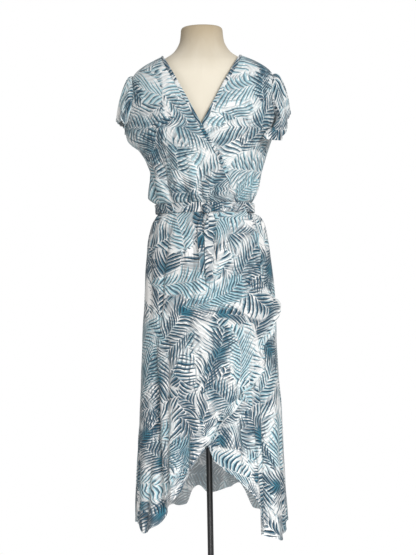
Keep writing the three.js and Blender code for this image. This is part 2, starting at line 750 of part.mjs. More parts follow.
// A closed body from a stack of rings, shut by a point at each end
function closedStack(rings) {
  const turns = rings[0].length;
  const first = rings[0].reduce((sum, p) => sum.add(p), new THREE.Vector3()).divideScalar(turns);
  const last = rings.at(-1).reduce((sum, p) => sum.add(p), new THREE.Vector3()).divideScalar(turns);
  const closedFirst = rings[0][0].distanceTo(first) < 0.01;
  const closedLast = rings.at(-1)[0].distanceTo(last) < 0.01;
  const bands = rings.slice(closedFirst ? 1 : 0, closedLast ? -1 : undefined);
  const flat = [...bands.flat(), first, last];
  const positions = new Float32Array(flat.length * 3);
  flat.forEach((point, i) => point.toArray(positions, i * 3));
  const indices = [];
  const firstIndex = flat.length - 2;
  const lastIndex = flat.length - 1;
  const end = (bands.length - 1) * turns;
  for (let col = 0; col < turns; col += 1) {
    const next = (col + 1) % turns;
    indices.push(firstIndex, next, col);
    indices.push(lastIndex, end + col, end + next);
    for (let row = 0; row + 1 < bands.length; row += 1) {
      const a = row * turns;
      indices.push(a + col, a + next, a + turns + next);
      indices.push(a + col, a + turns + next, a + turns + col);
    }
  }
  return facingOut(positions, indices);
}

// The tie's ends: flat strips that hang from the knot over the skirt
const tieEnds = {
  long: { xTop: 10, xBottom: 9, width: 20, low: 862, high: 1035, layer: 8.3 },
  short: { xTop: -6, xBottom: -10, width: 15, low: 891, high: 1042, layer: 6.2 },
};

function tieEnd(end) {
  return clothWall(placesOf(2, 12, (col, row) => {
    const u = col / 2;
    const v = row / 12;
    const z = mix(end.low, end.high, v) + (1 - v) * 4 * (u - 0.5);
    const width = mix(end.width, end.width * 0.62, ease(0.75, 1, v));
    const x = mix(end.xBottom, end.xTop, v) + width * (u - 0.5);
    return { angle: frontAngle(x, z), z, layer: end.layer };
  }), wall);
}

// Form and stand
function torso() {
  const turns = 28;
  const round = 9;
  const rings = [];
  const ringAt = (z, inset, top) => {
    const points = [];
    for (let col = 0; col < turns; col += 1) {
      const angle = (col / turns) * 360;
      const radius = ringRadius(form, angle, z) - inset;
      points.push(new THREE.Vector3(radius * Math.sin(angle * degree), -radius * Math.cos(angle * degree), top));
    }
    rings.push(points);
  };
  ringAt(formBottom, 14, formBottom - 7);
  ringAt(formBottom, 4, formBottom - 4.5);
  const steps = 22;
  for (let row = 0; row <= steps; row += 1) {
    const z = Math.min(formBottom + row * formSection, formTop - round);
    ringAt(z, 0, z);
  }
  ringAt(formTop - round, 2.6, formTop - 3.2);
  ringAt(formTop - round, 8, formTop);
  return closedStack(rings);
}

function turned(profile, segments) {
  const points = profile.map(([radius, height]) => new THREE.Vector2(radius, height));
  const geometry = new THREE.LatheGeometry(points, segments);
  geometry.rotateX(Math.PI / 2);
  return geometry;
}

function pole() {
  const low = baseThickness + 0.3;
  const high = formBottom - 7.3;
  return turned([[0, low], [poleRadius, low], [poleRadius, high], [0, high]], 20);
}

function standBase() {
  const bore = poleRadius + 0.45;
  return turned([
    [0, 0],
    [baseRadius - 2, 0],
    [baseRadius, 2],
    [baseRadius, baseThickness - 3],
    [baseRadius - 4, baseThickness],
    [collarRadius + 3, baseThickness + 2],
    [collarRadius, baseThickness + 5],
    [collarRadius, collarHeight - 2],
    [collarRadius - 2, collarHeight],
    [bore, collarHeight],
    [bore, baseThickness],
    [0, baseThickness],
  ], 26);
}

const dressOnForm = new THREE.Group();

function add(name, geometry, material) {
  const mesh = new THREE.Mesh(geometry, material);
  mesh.name = name;
  dressOnForm.add(mesh);
}

add('form_torso', torso(), linenCloth);
add('form_pole', pole(), blackPaint);
add('form_base', standBase(), blackPaint);
add('bodice_back', clothWall(backPlaces, wall), printCloth);
add('bodice_front_over', clothWall(overFrontPlaces, wall), printCloth);
add('bodice_front_under', clothWall(underFrontPlaces, wall), printCloth);
add('sleeve_right', sleeve(sleeveCut.right), printCloth);
add('sleeve_left', sleeve(sleeveCut.left), printCloth);
add('neck_binding_over', neckBinding(overFrontPlaces), printBinding);
add('neck_binding_under', neckBinding(underFrontPlaces), printBinding);
add('neck_binding_back', bindingOn(backPlaces.slice(-2)), printBinding);
add('skirt_back', skirtBack(), printCloth);
add('skirt_front_over', skirtFront(-1), printCloth);
add('skirt_front_under', skirtFront(1), printCloth);
add('tie_belt', belt(), printCloth);
add('belt_loop', beltLoop(), printBinding);
add('tie_knot', knot(), printCloth);
add('tie_end_long', tieEnd(tieEnds.long), printCloth);
add('tie_end_short', tieEnd(tieEnds.short), printCloth);

export default dressOnForm;
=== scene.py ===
# A wrap dress with a palm leaf print on a limbless dress form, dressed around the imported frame
import math

import bpy
import numpy as np
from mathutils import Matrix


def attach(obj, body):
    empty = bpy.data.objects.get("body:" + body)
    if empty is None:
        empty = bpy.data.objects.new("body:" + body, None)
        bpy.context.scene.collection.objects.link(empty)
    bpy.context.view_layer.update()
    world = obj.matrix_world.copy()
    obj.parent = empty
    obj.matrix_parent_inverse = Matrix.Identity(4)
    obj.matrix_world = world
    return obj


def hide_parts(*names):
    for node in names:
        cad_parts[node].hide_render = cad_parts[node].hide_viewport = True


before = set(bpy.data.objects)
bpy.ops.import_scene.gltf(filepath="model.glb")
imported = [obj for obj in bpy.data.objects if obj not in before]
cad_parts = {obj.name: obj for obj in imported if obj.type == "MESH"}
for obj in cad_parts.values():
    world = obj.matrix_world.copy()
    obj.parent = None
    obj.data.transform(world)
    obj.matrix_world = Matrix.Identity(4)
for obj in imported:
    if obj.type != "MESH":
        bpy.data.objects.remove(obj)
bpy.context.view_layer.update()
print("stage 1: frame loaded")


def table(names, rows):  # a dictionary for each row; a short row leaves its last columns out
    return [dict(zip(names.split(), row)) for row in rows]


# Camera, light and floor. The photo's frame is 416 by 555, upright.
view = dict(
    distance=3.2,  # metres from the form's middle plane
    height=0.875,
    aside=0.0053,
    lens=78.6,
    lean=1.0,  # degrees that the object leans to the picture's left
)
studio = dict(
    roomLight=0.44,
    backdrop=1.0,
    lamps=table("name place aim size watts", [
        ("keyLight", (1.9, -3.4, 2.5), (0, 0, 0.9), 1.2, 116),
        ("fillLight", (-2.6, -2.4, 1.5), (0, 0, 0.8), 2.0, 9),
        ("hemLight", (0.0, -1.1, 0.03), (0, 0.12, 0.42), 0.5, 5),
    ]),
    floorRadius=0.44,
    floorDrop=0.0006,
    floorSides=96,
    floorColours=[(0.9, 0.9, 0.89, 1), (0.93, 0.93, 0.92, 1)],
)

scene = bpy.context.scene
scene.view_settings.view_transform = "Standard"


def placed(name, data):
    thing = bpy.data.objects.new(name, data)
    scene.collection.objects.link(thing)
    return thing


camera = placed("camera", bpy.data.cameras.new("camera"))
camera.data.lens = view["lens"]
camera.location = (view["aside"], -view["distance"], view["height"])
camera.rotation_euler = (math.radians(90), math.radians(view["lean"]), 0)
scene.camera = camera

for look in studio["lamps"]:
    lamp = placed(look["name"], bpy.data.lights.new(look["name"], "AREA"))
    lamp.data.size = look["size"]
    lamp.data.energy = look["watts"]
    lamp.location = look["place"]
    away = np.array(look["place"]) - np.array(look["aim"])
    flat = math.hypot(away[0], away[1])
    lamp.rotation_euler = (math.atan2(flat, away[2]), 0, math.atan2(away[0], -away[1]))

world = bpy.data.worlds.new("whiteRoom")
world.use_nodes = True
scene.world = world
worldNodes = world.node_tree.nodes
worldLinks = world.node_tree.links
background = worldNodes["Background"]
lightPath = worldNodes.new("ShaderNodeLightPath")
roomMix = worldNodes.new("ShaderNodeMix")
roomMix.inputs["A"].default_value = studio["roomLight"]
roomMix.inputs["B"].default_value = studio["backdrop"]
worldLinks.new(lightPath.outputs["Is Camera Ray"], roomMix.inputs["Factor"])
worldLinks.new(roomMix.outputs["Result"], background.inputs["Strength"])
background.inputs["Color"].default_value = (1, 1, 1, 1)

# Node helpers. A Value wraps a node's output, so plain sums of Values and numbers make math nodes.


class Value:
    def __init__(self, socket):
        self.socket = socket
        self.tree = socket.id_data

    def __add__(self, other):
        return calc("ADD", self, other)

    def __sub__(self, other):
        return calc("SUBTRACT", self, other)

    def __rsub__(self, other):
        return calc("SUBTRACT", other, self)

    def __mul__(self, other):
        return calc("MULTIPLY", self, other)

    def __truediv__(self, other):
        return calc("DIVIDE", self, other)

    def __rtruediv__(self, other):
        return calc("DIVIDE", other, self)

    def __pow__(self, other):
        return calc("POWER", self, other)


def wire(value, socket):
    if isinstance(value, Value):
        value.tree.links.new(value.socket, socket)
    else:
        socket.default_value = value


def newNode(tree, kind, **settings):
    node = tree.nodes.new("ShaderNode" + kind)
    for name, value in settings.items():
        setattr(node, name, value)
    return node


def calc(operation, *values, clamp=False):
    tree = next(value.tree for value in values if isinstance(value, Value))
    node = newNode(tree, "Math", operation=operation, use_clamp=clamp)
    for value, socket in zip(values, node.inputs):
        wire(value, socket)
    return Value(node.outputs[0])


def vectorCalc(operation, first, second):
    node = newNode(first.tree, "VectorMath", operation=operation)
    wire(first, node.inputs[0])
    wire(second, node.inputs["Scale" if operation == "SCALE" else 1])
    return Value(node.outputs[0])


def blendColour(factor, first, second):
    node = newNode(factor.tree, "Mix", data_type="RGBA")
    wire(factor, node.inputs[0])
    wire(first, node.inputs[6])
    wire(second, node.inputs[7])
    return Value(node.outputs[2])


def noise(place, scale, detail=2.0, roughness=0.5, output="Fac"):
    node = newNode(place.tree, "TexNoise")
    wire(place, node.inputs["Vector"])
    node.inputs["Scale"].default_value = scale
    node.inputs["Detail"].default_value = detail
    node.inputs["Roughness"].default_value = roughness
    return Value(node.outputs[output])


def softStep(value, low, high):
    node = newNode(value.tree, "MapRange", interpolation_type="SMOOTHSTEP")
    wire(value, node.inputs["Value"])
    node.inputs["From Min"].default_value = low
    node.inputs["From Max"].default_value = high
    return Value(node.outputs["Result"])


def parts(value, kind):  # the single values in a vector (XYZ) or a colour (Color)
    node = newNode(value.tree, "Separate" + kind)
    wire(value, node.inputs[0])
    return [Value(socket) for socket in node.outputs[:3]]


def newGroup(name, inputs, outputs):
    tree = bpy.data.node_groups.new(name, "ShaderNodeTree")
    for label, kind, value in inputs:
        socket = tree.interface.new_socket(label, in_out="INPUT", socket_type="NodeSocket" + kind)
        if value is not None:
            socket.default_value = value
    for label, kind in outputs:
        tree.interface.new_socket(label, in_out="OUTPUT", socket_type="NodeSocket" + kind)
    offered = tree.nodes.new("NodeGroupInput").outputs
    given = {socket.name: Value(socket) for socket in offered if socket.name}
    return tree, given, tree.nodes.new("NodeGroupOutput").inputs


def useGroup(group, values):
    node = newNode(values["Place"].tree, "Group", node_tree=group)
    for label, value in values.items():
        wire(value, node.inputs[label])
    return [Value(socket) for socket in node.outputs]


# One layer of palm fronds: each cell of a loose scatter holds a frond with curved leaflets on both
# sides of its rib. It gives the leaflets' mask, the dark stroke and the ink line on one side of each,
# the frond's whole outline, its crowded heart, a chance value and how far out on its leaflet a place
# lies. Pairs are the least value and how much chance adds to it.
frondLook = dict(
    strays=[(14.0, 0.028), (60.0, 0.003)],  # noise scales and how far each moves the print, in metres
    scatter=0.8,
    bend=4.5,
    arc=(-0.45, 1.1),
    slant=(1.15, 0.75),
    stagger=0.25,
    ribMiddle=0.14,
    ribReach=0.56,
    seeds=(7.0, 91.0),
    leafletLength=(0.6, 0.5),
    leafletShift=0.16,
    leafletWidth=(0.72, 0.5),
    rise=0.3,
    fall=0.8,
    breadth=1.5,
    strokeFrom=0.22,
    lineFrom=0.38,
    ragged=0.008,
    heart=(0.026, 0.006),
)


def buildFrondGroup():
    look = frondLook
    tree, given, made = newGroup(
        "palmFronds",
        [
            ("Place", "Vector", None),
            ("Shift", "Vector", None),
            ("Spacing", "Float", 0.2),
            ("Length", "Float", 0.2),
            ("Half Width", "Float", 0.05),
            ("Pitch", "Float", 0.013),
            ("Fullness", "Float", 0.55),
        ],
        [("Leaflets", "Float"), ("Stroke", "Float"), ("Line", "Float"), ("Outline", "Float"),
         ("Heart", "Float"), ("Second Chance", "Float"), ("Reach", "Float")],
    )
    place = given["Place"]
    for scale, distance in look["strays"]:
        drift = noise(given["Place"], scale, 1.0, output="Color")
        stray = vectorCalc("SUBTRACT", drift, (0.5, 0.5, 0.5))
        place = vectorCalc("ADD", place, vectorCalc("SCALE", stray, distance))
    place = vectorCalc("ADD", place, given["Shift"])
    cells = newNode(tree, "TexVoronoi", voronoi_dimensions="2D")
    cells.inputs["Randomness"].default_value = look["scatter"]
    wire(place, cells.inputs["Vector"])
    wire(1.0 / given["Spacing"], cells.inputs["Scale"])
    turnChance, bendChance, toneChance = parts(Value(cells.outputs["Color"]), "Color")
    turn = newNode(tree, "VectorRotate", rotation_type="Z_AXIS")
    wire(vectorCalc("SUBTRACT", place, Value(cells.outputs["Position"])), turn.inputs["Vector"])
    wire(turnChance * (2 * math.pi), turn.inputs["Angle"])
    along, across = parts(Value(turn.outputs[0]), "XYZ")[:2]
    across = across + along * along * ((bendChance - 0.5) * look["bend"])
    side = calc("SIGN", across)
    out = calc("ABSOLUTE", across)
    # leaflets leave the rib at a slant and arc on; how they arc is the frond's own
    slant = look["slant"][0] - toneChance * look["slant"][1]
    arc = toneChance * look["arc"][1] + look["arc"][0]
    root = along - (slant * out + arc * (out * out / given["Half Width"]))
    count = (root + side * given["Pitch"] * look["stagger"]) / given["Pitch"]
    belly = (root / given["Length"] + look["ribMiddle"]) / look["ribReach"]
    rest = 1.0 - belly * belly
    inFrond = calc("GREATER_THAN", rest, 0.02)
    seed = newNode(tree, "CombineXYZ")
    wire(calc("FLOOR", count), seed.inputs[0])
    wire(side * look["seeds"][0], seed.inputs[1])
    wire(bendChance * look["seeds"][1], seed.inputs[2])
    luck = newNode(tree, "TexWhiteNoise")
    wire(Value(seed.outputs[0]), luck.inputs["Vector"])
    lengthLuck, shiftLuck, widthLuck = parts(Value(luck.outputs["Color"]), "Color")
    offCentre = calc("FRACT", count) - 0.5
    offCentre = offCentre + shiftLuck * look["leafletShift"] - look["leafletShift"] / 2
    full = calc("SQRT", calc("MAXIMUM", rest, 0.0001)) * given["Half Width"]
    length = full * (lengthLuck * look["leafletLength"][1] + look["leafletLength"][0])
    reach = calc("DIVIDE", out, calc("MAXIMUM", length, 0.0005), clamp=True)
    toTip = calc("SUBTRACT", 1.0, reach, clamp=True)
    body = reach ** look["rise"] * toTip ** look["fall"] * look["breadth"]
    half = body * (widthLuck * look["leafletWidth"][1] + look["leafletWidth"][0]) * given["Fullness"]
    mask = softStep(half - calc("ABSOLUTE", offCentre), -0.01, 0.06) * inFrond
    wire(mask, made["Leaflets"])
    wire(softStep(offCentre + half * look["strokeFrom"], 0.0, 0.07) * mask, made["Stroke"])
    wire(softStep(offCentre - half * look["lineFrom"], 0.0, 0.05) * mask, made["Line"])
    wire(softStep(full - out, 0.0, 0.008) * inFrond, made["Outline"])
    fromHeart = Value(cells.outputs["Distance"]) * given["Spacing"] + offCentre * look["ragged"]
    wire(softStep(fromHeart, *look["heart"]), made["Heart"])
    wire(bendChance, made["Second Chance"])
    wire(reach, made["Reach"])
    return tree


# The whole print: layers of fronds from pale wash to dark ink on an off-white ground. Clearing is how
# far a frond wipes out what lies under it. Sizes are in metres.
printLook = dict(
    ground=(0.91, 0.90, 0.88, 1),
    wash=(0.38, 0.64, 0.71, 1),
    middle=(0.006, 0.066, 0.116, 1),
    ink=(0.002, 0.010, 0.018, 1),
    heart=(0.020, 0.145, 0.210, 1),
    # The wrong side's colour: the print's paler back, set lighter than the ground as painted light on the
    # cloth's shaded inner side
    wrongSideAndPaintedLight=(0.95, 0.97, 0.98, 1),
    brushScale=90.0,
    strength=(0.45, 0.5),
    rootShade=(0.15, 0.4),
    fillCover=0.78,
    heartCover=0.5,
    strokeCover=(0.62, 0.4, 0.2, 0.12),  # least, by depth, by brush and a last lift
    inkCover=(0.5, 0.6),  # by depth and by brush
    layers=table("shift spacing length halfWidth pitch depth clearing", [
        ((0.31, 0.17, 0), 0.1144, 0.22, 0.0648, 0.0128, 0.50, 0.0),
        ((1.73, 0.92, 0), 0.132, 0.2024, 0.0594, 0.0119, 0.90, 0.3),
        ((2.41, 3.37, 0), 0.1408, 0.1936, 0.0576, 0.011, 1.40, 0.5),
        ((3.31, 7.72, 0), 0.120, 0.17, 0.048, 0.0105, 1.30, 0.3),
        ((5.12, 1.64, 0), 0.150, 0.19, 0.0558, 0.0119, 1.10, 0.65),
        ((7.93, 4.28, 0), 0.176, 0.176, 0.0504, 0.0106, 1.60, 0.4),
        ((9.27, 6.61, 0), 0.2112, 0.1496, 0.045, 0.0097, 1.80, 0.1),
    ]),
)


def buildPrintGroup(fronds):
    look = printLook
    tree, given, made = newGroup(
        "palmPrint",
        [("Place", "Vector", None), ("Fade", "Float", 0.0), ("Density", "Float", 1.0)],
        [("Color", "Color"), ("Inked", "Float")],
    )
    colour = look["ground"]
    inked = 0.0
    brush = softStep(noise(given["Place"], look["brushScale"], 3.0), 0.3, 0.7)
    strength = calc("ADD", given["Density"] * look["strength"][1], look["strength"][0], clamp=True)
    least, byDepth, byBrush, lift = look["strokeCover"]
    for layer in look["layers"]:
        mask, stroke, line, outline, heart, chance, reach = useGroup(fronds, {
            "Place": given["Place"], "Shift": layer["shift"], "Spacing": layer["spacing"],
            "Length": layer["length"], "Half Width": layer["halfWidth"], "Pitch": layer["pitch"],
        })
        colour = blendColour(outline * layer["clearing"], colour, look["ground"])
        deep = softStep(chance, 0.1, 0.75) * (given["Density"] * layer["depth"])
        rootShade = (1.0 - reach) * look["rootShade"][1] + look["rootShade"][0]
        tone = calc("MULTIPLY", deep, rootShade + brush, clamp=True)
        fill = blendColour(tone, look["wash"], look["middle"])
        colour = blendColour(mask * look["fillCover"], colour, fill)
        crowd = calc("MULTIPLY", heart, deep * look["heartCover"], clamp=True)
        colour = blendColour(crowd, colour, look["heart"])
        firm = calc("ADD", deep * byDepth, brush * byBrush + least, clamp=True)
        strokeCover = calc("MULTIPLY", stroke, (firm + lift) * strength, clamp=True)
        colour = blendColour(strokeCover, colour, look["middle"])
        inkCover = calc("ADD", deep * look["inkCover"][0], brush * look["inkCover"][1], clamp=True)
        colour = blendColour(line * inkCover, colour, look["ink"])
        inked = calc("MAXIMUM", inked, mask)
    # Fade blends towards the wrong side's colour, the print's paler back brightened as painted light
    wire(blendColour(given["Fade"], colour, look["wrongSideAndPaintedLight"]), made["Color"])
    wire(inked, made["Inked"])
    return tree


# Fine weave and soft crumple for cloth, as a height
weaveLook = dict(weave=0.12, crumpleScale=26.0, slub=0.1, slubScale=420.0)


def buildWeaveGroup():
    look = weaveLook
    tree, given, made = newGroup(
        "clothWeave",
        [("Place", "Vector", None), ("Thread", "Float", 0.0006), ("Crumple", "Float", 0.4)],
        [("Height", "Float")],
    )
    place = given["Place"]
    turns = 2 * math.pi / given["Thread"]
    warp, weft = (calc("SINE", axis * turns) for axis in parts(place, "XYZ")[:2])
    crumple = noise(place, look["crumpleScale"], 3.0, 0.55) * given["Crumple"]
    slub = noise(place, look["slubScale"], 1.0) * look["slub"]
    wire(warp * weft * look["weave"] + crumple + slub, made["Height"])
    return tree


printGroup = buildPrintGroup(buildFrondGroup())
weaveGroup = buildWeaveGroup()


def newMaterial(name, roughness, sheen=0.0):
    material = bpy.data.materials.new(name)
    material.use_nodes = True
    shader = material.node_tree.nodes["Principled BSDF"].inputs
    shader["Roughness"].default_value = roughness
    shader["Sheen Weight"].default_value = sheen
    return material, material.node_tree, shader


def flatPlace(tree):
    return Value(newNode(tree, "UVMap", uv_map="clothFlat").outputs[0])


def solidPlace(tree):
    return Value(newNode(tree, "TexCoord").outputs["Object"])


def addBump(shader, height, strength, distance):
    node = newNode(height.tree, "Bump")
    node.inputs["Strength"].default_value = strength
    node.inputs["Distance"].default_value = distance
    wire(height, node.inputs["Height"])
    wire(Value(node.outputs["Normal"]), shader["Normal"])


def printedCloth(name, fade, density):
    look = dict(sheen=0.12, roughness=0.84, inkSmoother=0.08, thread=0.0008, crumple=0.7, bump=0.5,
                depth=0.0012)
    material, tree, shader = newMaterial(name, look["roughness"], look["sheen"])
    place = flatPlace(tree)
    colour, inked = useGroup(printGroup, {"Place": place, "Fade": fade, "Density": density})
    wire(colour, shader["Base Color"])
    wire(look["roughness"] - inked * look["inkSmoother"], shader["Roughness"])
    height, = useGroup(weaveGroup, {"Place": place, "Thread": look["thread"], "Crumple": look["crumple"]})
    addBump(shader, height, look["bump"], look["depth"])
    return material


def linenCloth():
    # Painted shade: the linen turns a darker tan towards the top of the neck, where it lies in shade
    look = dict(pale=(0.83, 0.77, 0.65, 1), deep=(0.72, 0.65, 0.52, 1), paintedShade=(0.38, 0.29, 0.17, 1),
                paintedShadeFrom=1.40, paintedShadeTo=1.575, paintedShadeShare=0.9, paintedShadeEdge=0.03, roughness=0.8, roughMore=0.12,
                sheen=0.15, thread=0.0009, crumple=0.1, mottle=14.0, threads=900.0, deepShare=0.4,
                bump=0.35, depth=0.0006)
    material, tree, shader = newMaterial("creamLinen", look["roughness"], look["sheen"])
    place = flatPlace(tree)
    height, = useGroup(weaveGroup, {"Place": place, "Thread": look["thread"], "Crumple": look["crumple"]})
    mottle = noise(place, look["mottle"], 3.0)
    share = calc("MULTIPLY", mottle + noise(place, look["threads"], 1.0), look["deepShare"], clamp=True)
    # the painted shade grows with height, with a mottled edge
    level = parts(solidPlace(tree), "XYZ")[2] + mottle * look["paintedShadeEdge"]
    paintedShadeShare = softStep(level, look["paintedShadeFrom"], look["paintedShadeTo"]) * look["paintedShadeShare"]
    unshaded = blendColour(share, look["pale"], look["deep"])
    wire(blendColour(paintedShadeShare, unshaded, look["paintedShade"]), shader["Base Color"])
    wire(mottle * look["roughMore"] + look["roughness"], shader["Roughness"])
    addBump(shader, height, look["bump"], look["depth"])
    return material


def blackPaint():
    look = dict(colours=[(0.012, 0.012, 0.013, 1), (0.022, 0.022, 0.023, 1)], roughness=0.3, scuff=0.18,
                scuffScale=60.0, peelScale=700.0, bump=0.12, depth=0.0004)
    material, tree, shader = newMaterial("blackPaint", look["roughness"])
    place = solidPlace(tree)
    scuff = noise(place, look["scuffScale"], 3.0)
    wire(blendColour(scuff, *look["colours"]), shader["Base Color"])
    wire(scuff * look["scuff"] + look["roughness"], shader["Roughness"])
    addBump(shader, noise(place, look["peelScale"], 1.0), look["bump"], look["depth"])
    return material


def floorPaper():
    material, tree, shader = newMaterial("palePaper", 0.9)
    wire(blendColour(noise(solidPlace(tree), 3.0), *studio["floorColours"]), shader["Base Color"])
    return material


# The inner side of every cloth piece: the print's paler back, brightened as painted light where the inside
# lies in shade
printWrongAndPaintedLight = printedCloth("palmPrintWrongSideAndPaintedLight", 0.36, 1.0)
clothSides = (printedCloth("palmPrintCloth", 0.0, 1.45), printWrongAndPaintedLight)
airySides = (printedCloth("palmPrintAiry", 0.0, 0.6), printWrongAndPaintedLight)
denseSides = (printedCloth("palmPrintDense", 0.0, 1.7), printWrongAndPaintedLight)
linen = linenCloth()
paint = blackPaint()
print("stage 2: materials made")

floorMesh = bpy.data.meshes.new("floor")
floorRim = np.linspace(0, 2 * math.pi, studio["floorSides"], endpoint=False)
floorCorners = [(studio["floorRadius"] * math.cos(turn), studio["floorRadius"] * math.sin(turn),
                 -studio["floorDrop"]) for turn in floorRim]
floorMesh.from_pydata(floorCorners, [], [tuple(range(len(floorCorners)))])
floorMesh.materials.append(floorPaper())
placed("floor", floorMesh)

# The dress's own sizes, in metres, as the frame has them
wall = 0.0012  # the cloth
seamGap = 0.00036
waistSeam = 1.056
overLayer = 0.0039  # how far the over panels stand out
overRise = (-87, -66)  # the angles between which they rise to it from the side seam
layerGap = 0.00035
bindingWidth = 0.008
bindingWall = 0.001
beltWidth = 0.024
beltLayer = 0.0069  # how far the belt stands out
shoulderEnd = 1.451
napeHeight = 1.467
armholeCentre = 1.332
armholeHalfHeight = 0.074
armholeTurn = 21  # degrees that the armhole cuts in at its widest

# The dress's surface at each height: how far it reaches to the picture's left and right, to the
# front and to the back, and how square it is across (2 is an ellipse)
dressRings = table("z left right front back square", [
    (1.475, 0.066, 0.07, 0.066, 0.082, 2.1),
    (1.462, 0.088, 0.095, 0.075, 0.09, 2.1),
    (1.452, 0.107, 0.114, 0.082, 0.095, 2.2),
    (1.44, 0.133, 0.142, 0.088, 0.1, 2.2),
    (1.425, 0.161, 0.167, 0.094, 0.105, 2.3),
    (1.41, 0.178, 0.181, 0.099, 0.108, 2.4),
    (1.385, 0.191, 0.192, 0.106, 0.112, 2.5),
    (1.335, 0.199, 0.199, 0.117, 0.113, 2.6),
    (1.29, 0.2, 0.195, 0.128, 0.109, 2.5),
    (1.256, 0.203, 0.187, 0.132, 0.106, 2.4),
    (1.238, 0.199, 0.18, 0.132, 0.104, 2.3),
    (1.212, 0.17, 0.171, 0.13, 0.101, 2.2),
    (1.19, 0.156, 0.164, 0.127, 0.099, 2.2),
    (1.15, 0.14, 0.152, 0.12, 0.096, 2.1),
    (1.105, 0.144, 0.14, 0.115, 0.094, 2.1),
    (1.088, 0.145, 0.133, 0.112, 0.093, 2.1),
    (1.076, 0.136, 0.128, 0.104, 0.089, 2.1),
    (1.068, 0.123, 0.123, 0.096, 0.085, 2.1),
    (1.044, 0.122, 0.123, 0.094, 0.085, 2.1),
    (1.034, 0.129, 0.142, 0.098, 0.089, 2.1),
    (1, 0.143, 0.158, 0.106, 0.1, 2.1),
    (0.937, 0.155, 0.169, 0.114, 0.118, 2.1),
    (0.88, 0.16, 0.176, 0.12, 0.124, 2.1),
    (0.81, 0.162, 0.18, 0.127, 0.128, 2.1),
    (0.736, 0.168, 0.181, 0.134, 0.132, 2.1),
    (0.63, 0.174, 0.186, 0.146, 0.139, 2.1),
    (0.525, 0.179, 0.193, 0.159, 0.147, 2.1),
    (0.42, 0.187, 0.196, 0.172, 0.156, 2.1),
    (0.314, 0.193, 0.199, 0.184, 0.165, 2.1),
    (0.24, 0.196, 0.202, 0.19, 0.171, 2.1),
    (0.17, 0.197, 0.203, 0.194, 0.175, 2.1),
])
# The form inside it, even on both sides
formRings = table("z side front back square", [
    (1.536, 0.0545, 0.049, 0.054, 2),
    (1.515, 0.056, 0.051, 0.057, 2),
    (1.498, 0.0585, 0.053, 0.061, 2),
    (1.485, 0.064, 0.057, 0.067, 2),
    (1.468, 0.076, 0.063, 0.077, 2.1),
    (1.453, 0.098, 0.071, 0.085, 2.1),
    (1.44, 0.1232, 0.0785, 0.0926, 2.2),
    (1.425, 0.1498, 0.0846, 0.0978, 2.2),
    (1.408, 0.1688, 0.0906, 0.1018, 2.3),
    (1.388, 0.174, 0.094, 0.102, 2.3),
    (1.35, 0.173, 0.103, 0.104, 2.3),
    (1.3, 0.163, 0.116, 0.101, 2.2),
    (1.25, 0.152, 0.122, 0.097, 2.2),
    (1.2, 0.142, 0.115, 0.092, 2.1),
    (1.14, 0.127, 0.101, 0.087, 2.1),
    (1.09, 0.116, 0.089, 0.082, 2.1),
    (1.056, 0.113, 0.084, 0.077, 2.1),
    (1.02, 0.12, 0.088, 0.083, 2.1),
    (0.98, 0.133, 0.096, 0.095, 2.1),
    (0.93, 0.144, 0.102, 0.108, 2.1),
    (0.88, 0.148, 0.105, 0.113, 2.1),
    (0.85, 0.147, 0.103, 0.111, 2.1),
    (0.832, 0.138, 0.095, 0.101, 2.1),
    (0.82, 0.12, 0.08, 0.085, 2.1),
])
# Folds run from a height and an angle down to another. Angles are from the front, 90 at the
# picture's right and -90 at its left. Width is half the fold's breadth and lift its height, below
# nought for a trough. Crisp is the side of a steep flank (0 for neither), quick how fast the fold
# grows and ends the height where it has faded out.
skirtFolds = table("top angleTop bottom angleBottom width lift crisp quick", [
    (0.8, -59, 0.33, -39, 0.016, -0.021, 1, 1.4),
    (0.9, -74, 0.3, -60, 0.03, 0.007),
    (0.56, -24, 0.33, -22, 0.015, -0.009),
    (0.7, -31, 0.33, -30, 0.02, 0.009),
    (0.62, -14, 0.4, -12, 0.019, 0.008),
    (1.02, -34, 0.82, -30, 0.026, -0.004),
    (1.02, 22, 0.8, 18, 0.026, -0.004),
    (0.7, 13, 0.52, 22, 0.025, 0.007),
    (0.56, 20, 0.36, 17, 0.018, 0.007),
    (0.6, 30, 0.33, 27, 0.014, -0.012, -1, 1.3),
    (0.6, 38, 0.3, 37, 0.017, 0.008),
    (0.72, 56, 0.33, 48, 0.016, -0.021, -1, 1.4),
    (0.8, 66, 0.3, 61, 0.024, 0.007),
    (0.8, 84, 0.3, 80, 0.018, -0.008),
    (0.9, 104, 0.26, 103, 0.024, 0.008),
    (0.86, 120, 0.3, 121, 0.017, -0.013),
    (0.94, 138, 0.29, 139, 0.024, 0.009),
    (0.82, 154, 0.32, 156, 0.016, -0.011),
    (0.9, 172, 0.31, 171, 0.025, 0.008),
    (0.84, 190, 0.32, 188, 0.016, -0.012),
    (0.93, 206, 0.3, 205, 0.023, 0.009),
    (0.86, 222, 0.29, 224, 0.017, -0.013),
    (0.9, 240, 0.26, 242, 0.025, 0.008),
    (0.8, 260, 0.28, 262, 0.018, -0.008),
])
bodiceFolds = table("top angleTop bottom angleBottom width lift", [
    (1.25, -52, 1.085, -50, 0.014, -0.004),
    (1.23, -28, 1.085, -30, 0.013, -0.0035),
    (1.18, 2, 1.085, -3, 0.014, -0.003),
    (1.19, 26, 1.085, 24, 0.013, -0.0035),
    (1.25, 50, 1.085, 47, 0.014, -0.004),
    (1.23, -78, 1.085, -72, 0.014, 0.004),
    (1.22, 76, 1.085, 72, 0.013, 0.004),
    (1.24, 112, 1.085, 110, 0.014, -0.004),
    (1.2, 142, 1.085, 140, 0.015, 0.003),
    (1.25, 168, 1.085, 166, 0.014, -0.004),
    (1.21, 196, 1.085, 197, 0.015, 0.003),
    (1.24, 226, 1.085, 228, 0.014, -0.004),
    (1.2, 252, 1.085, 250, 0.014, 0.003),
])
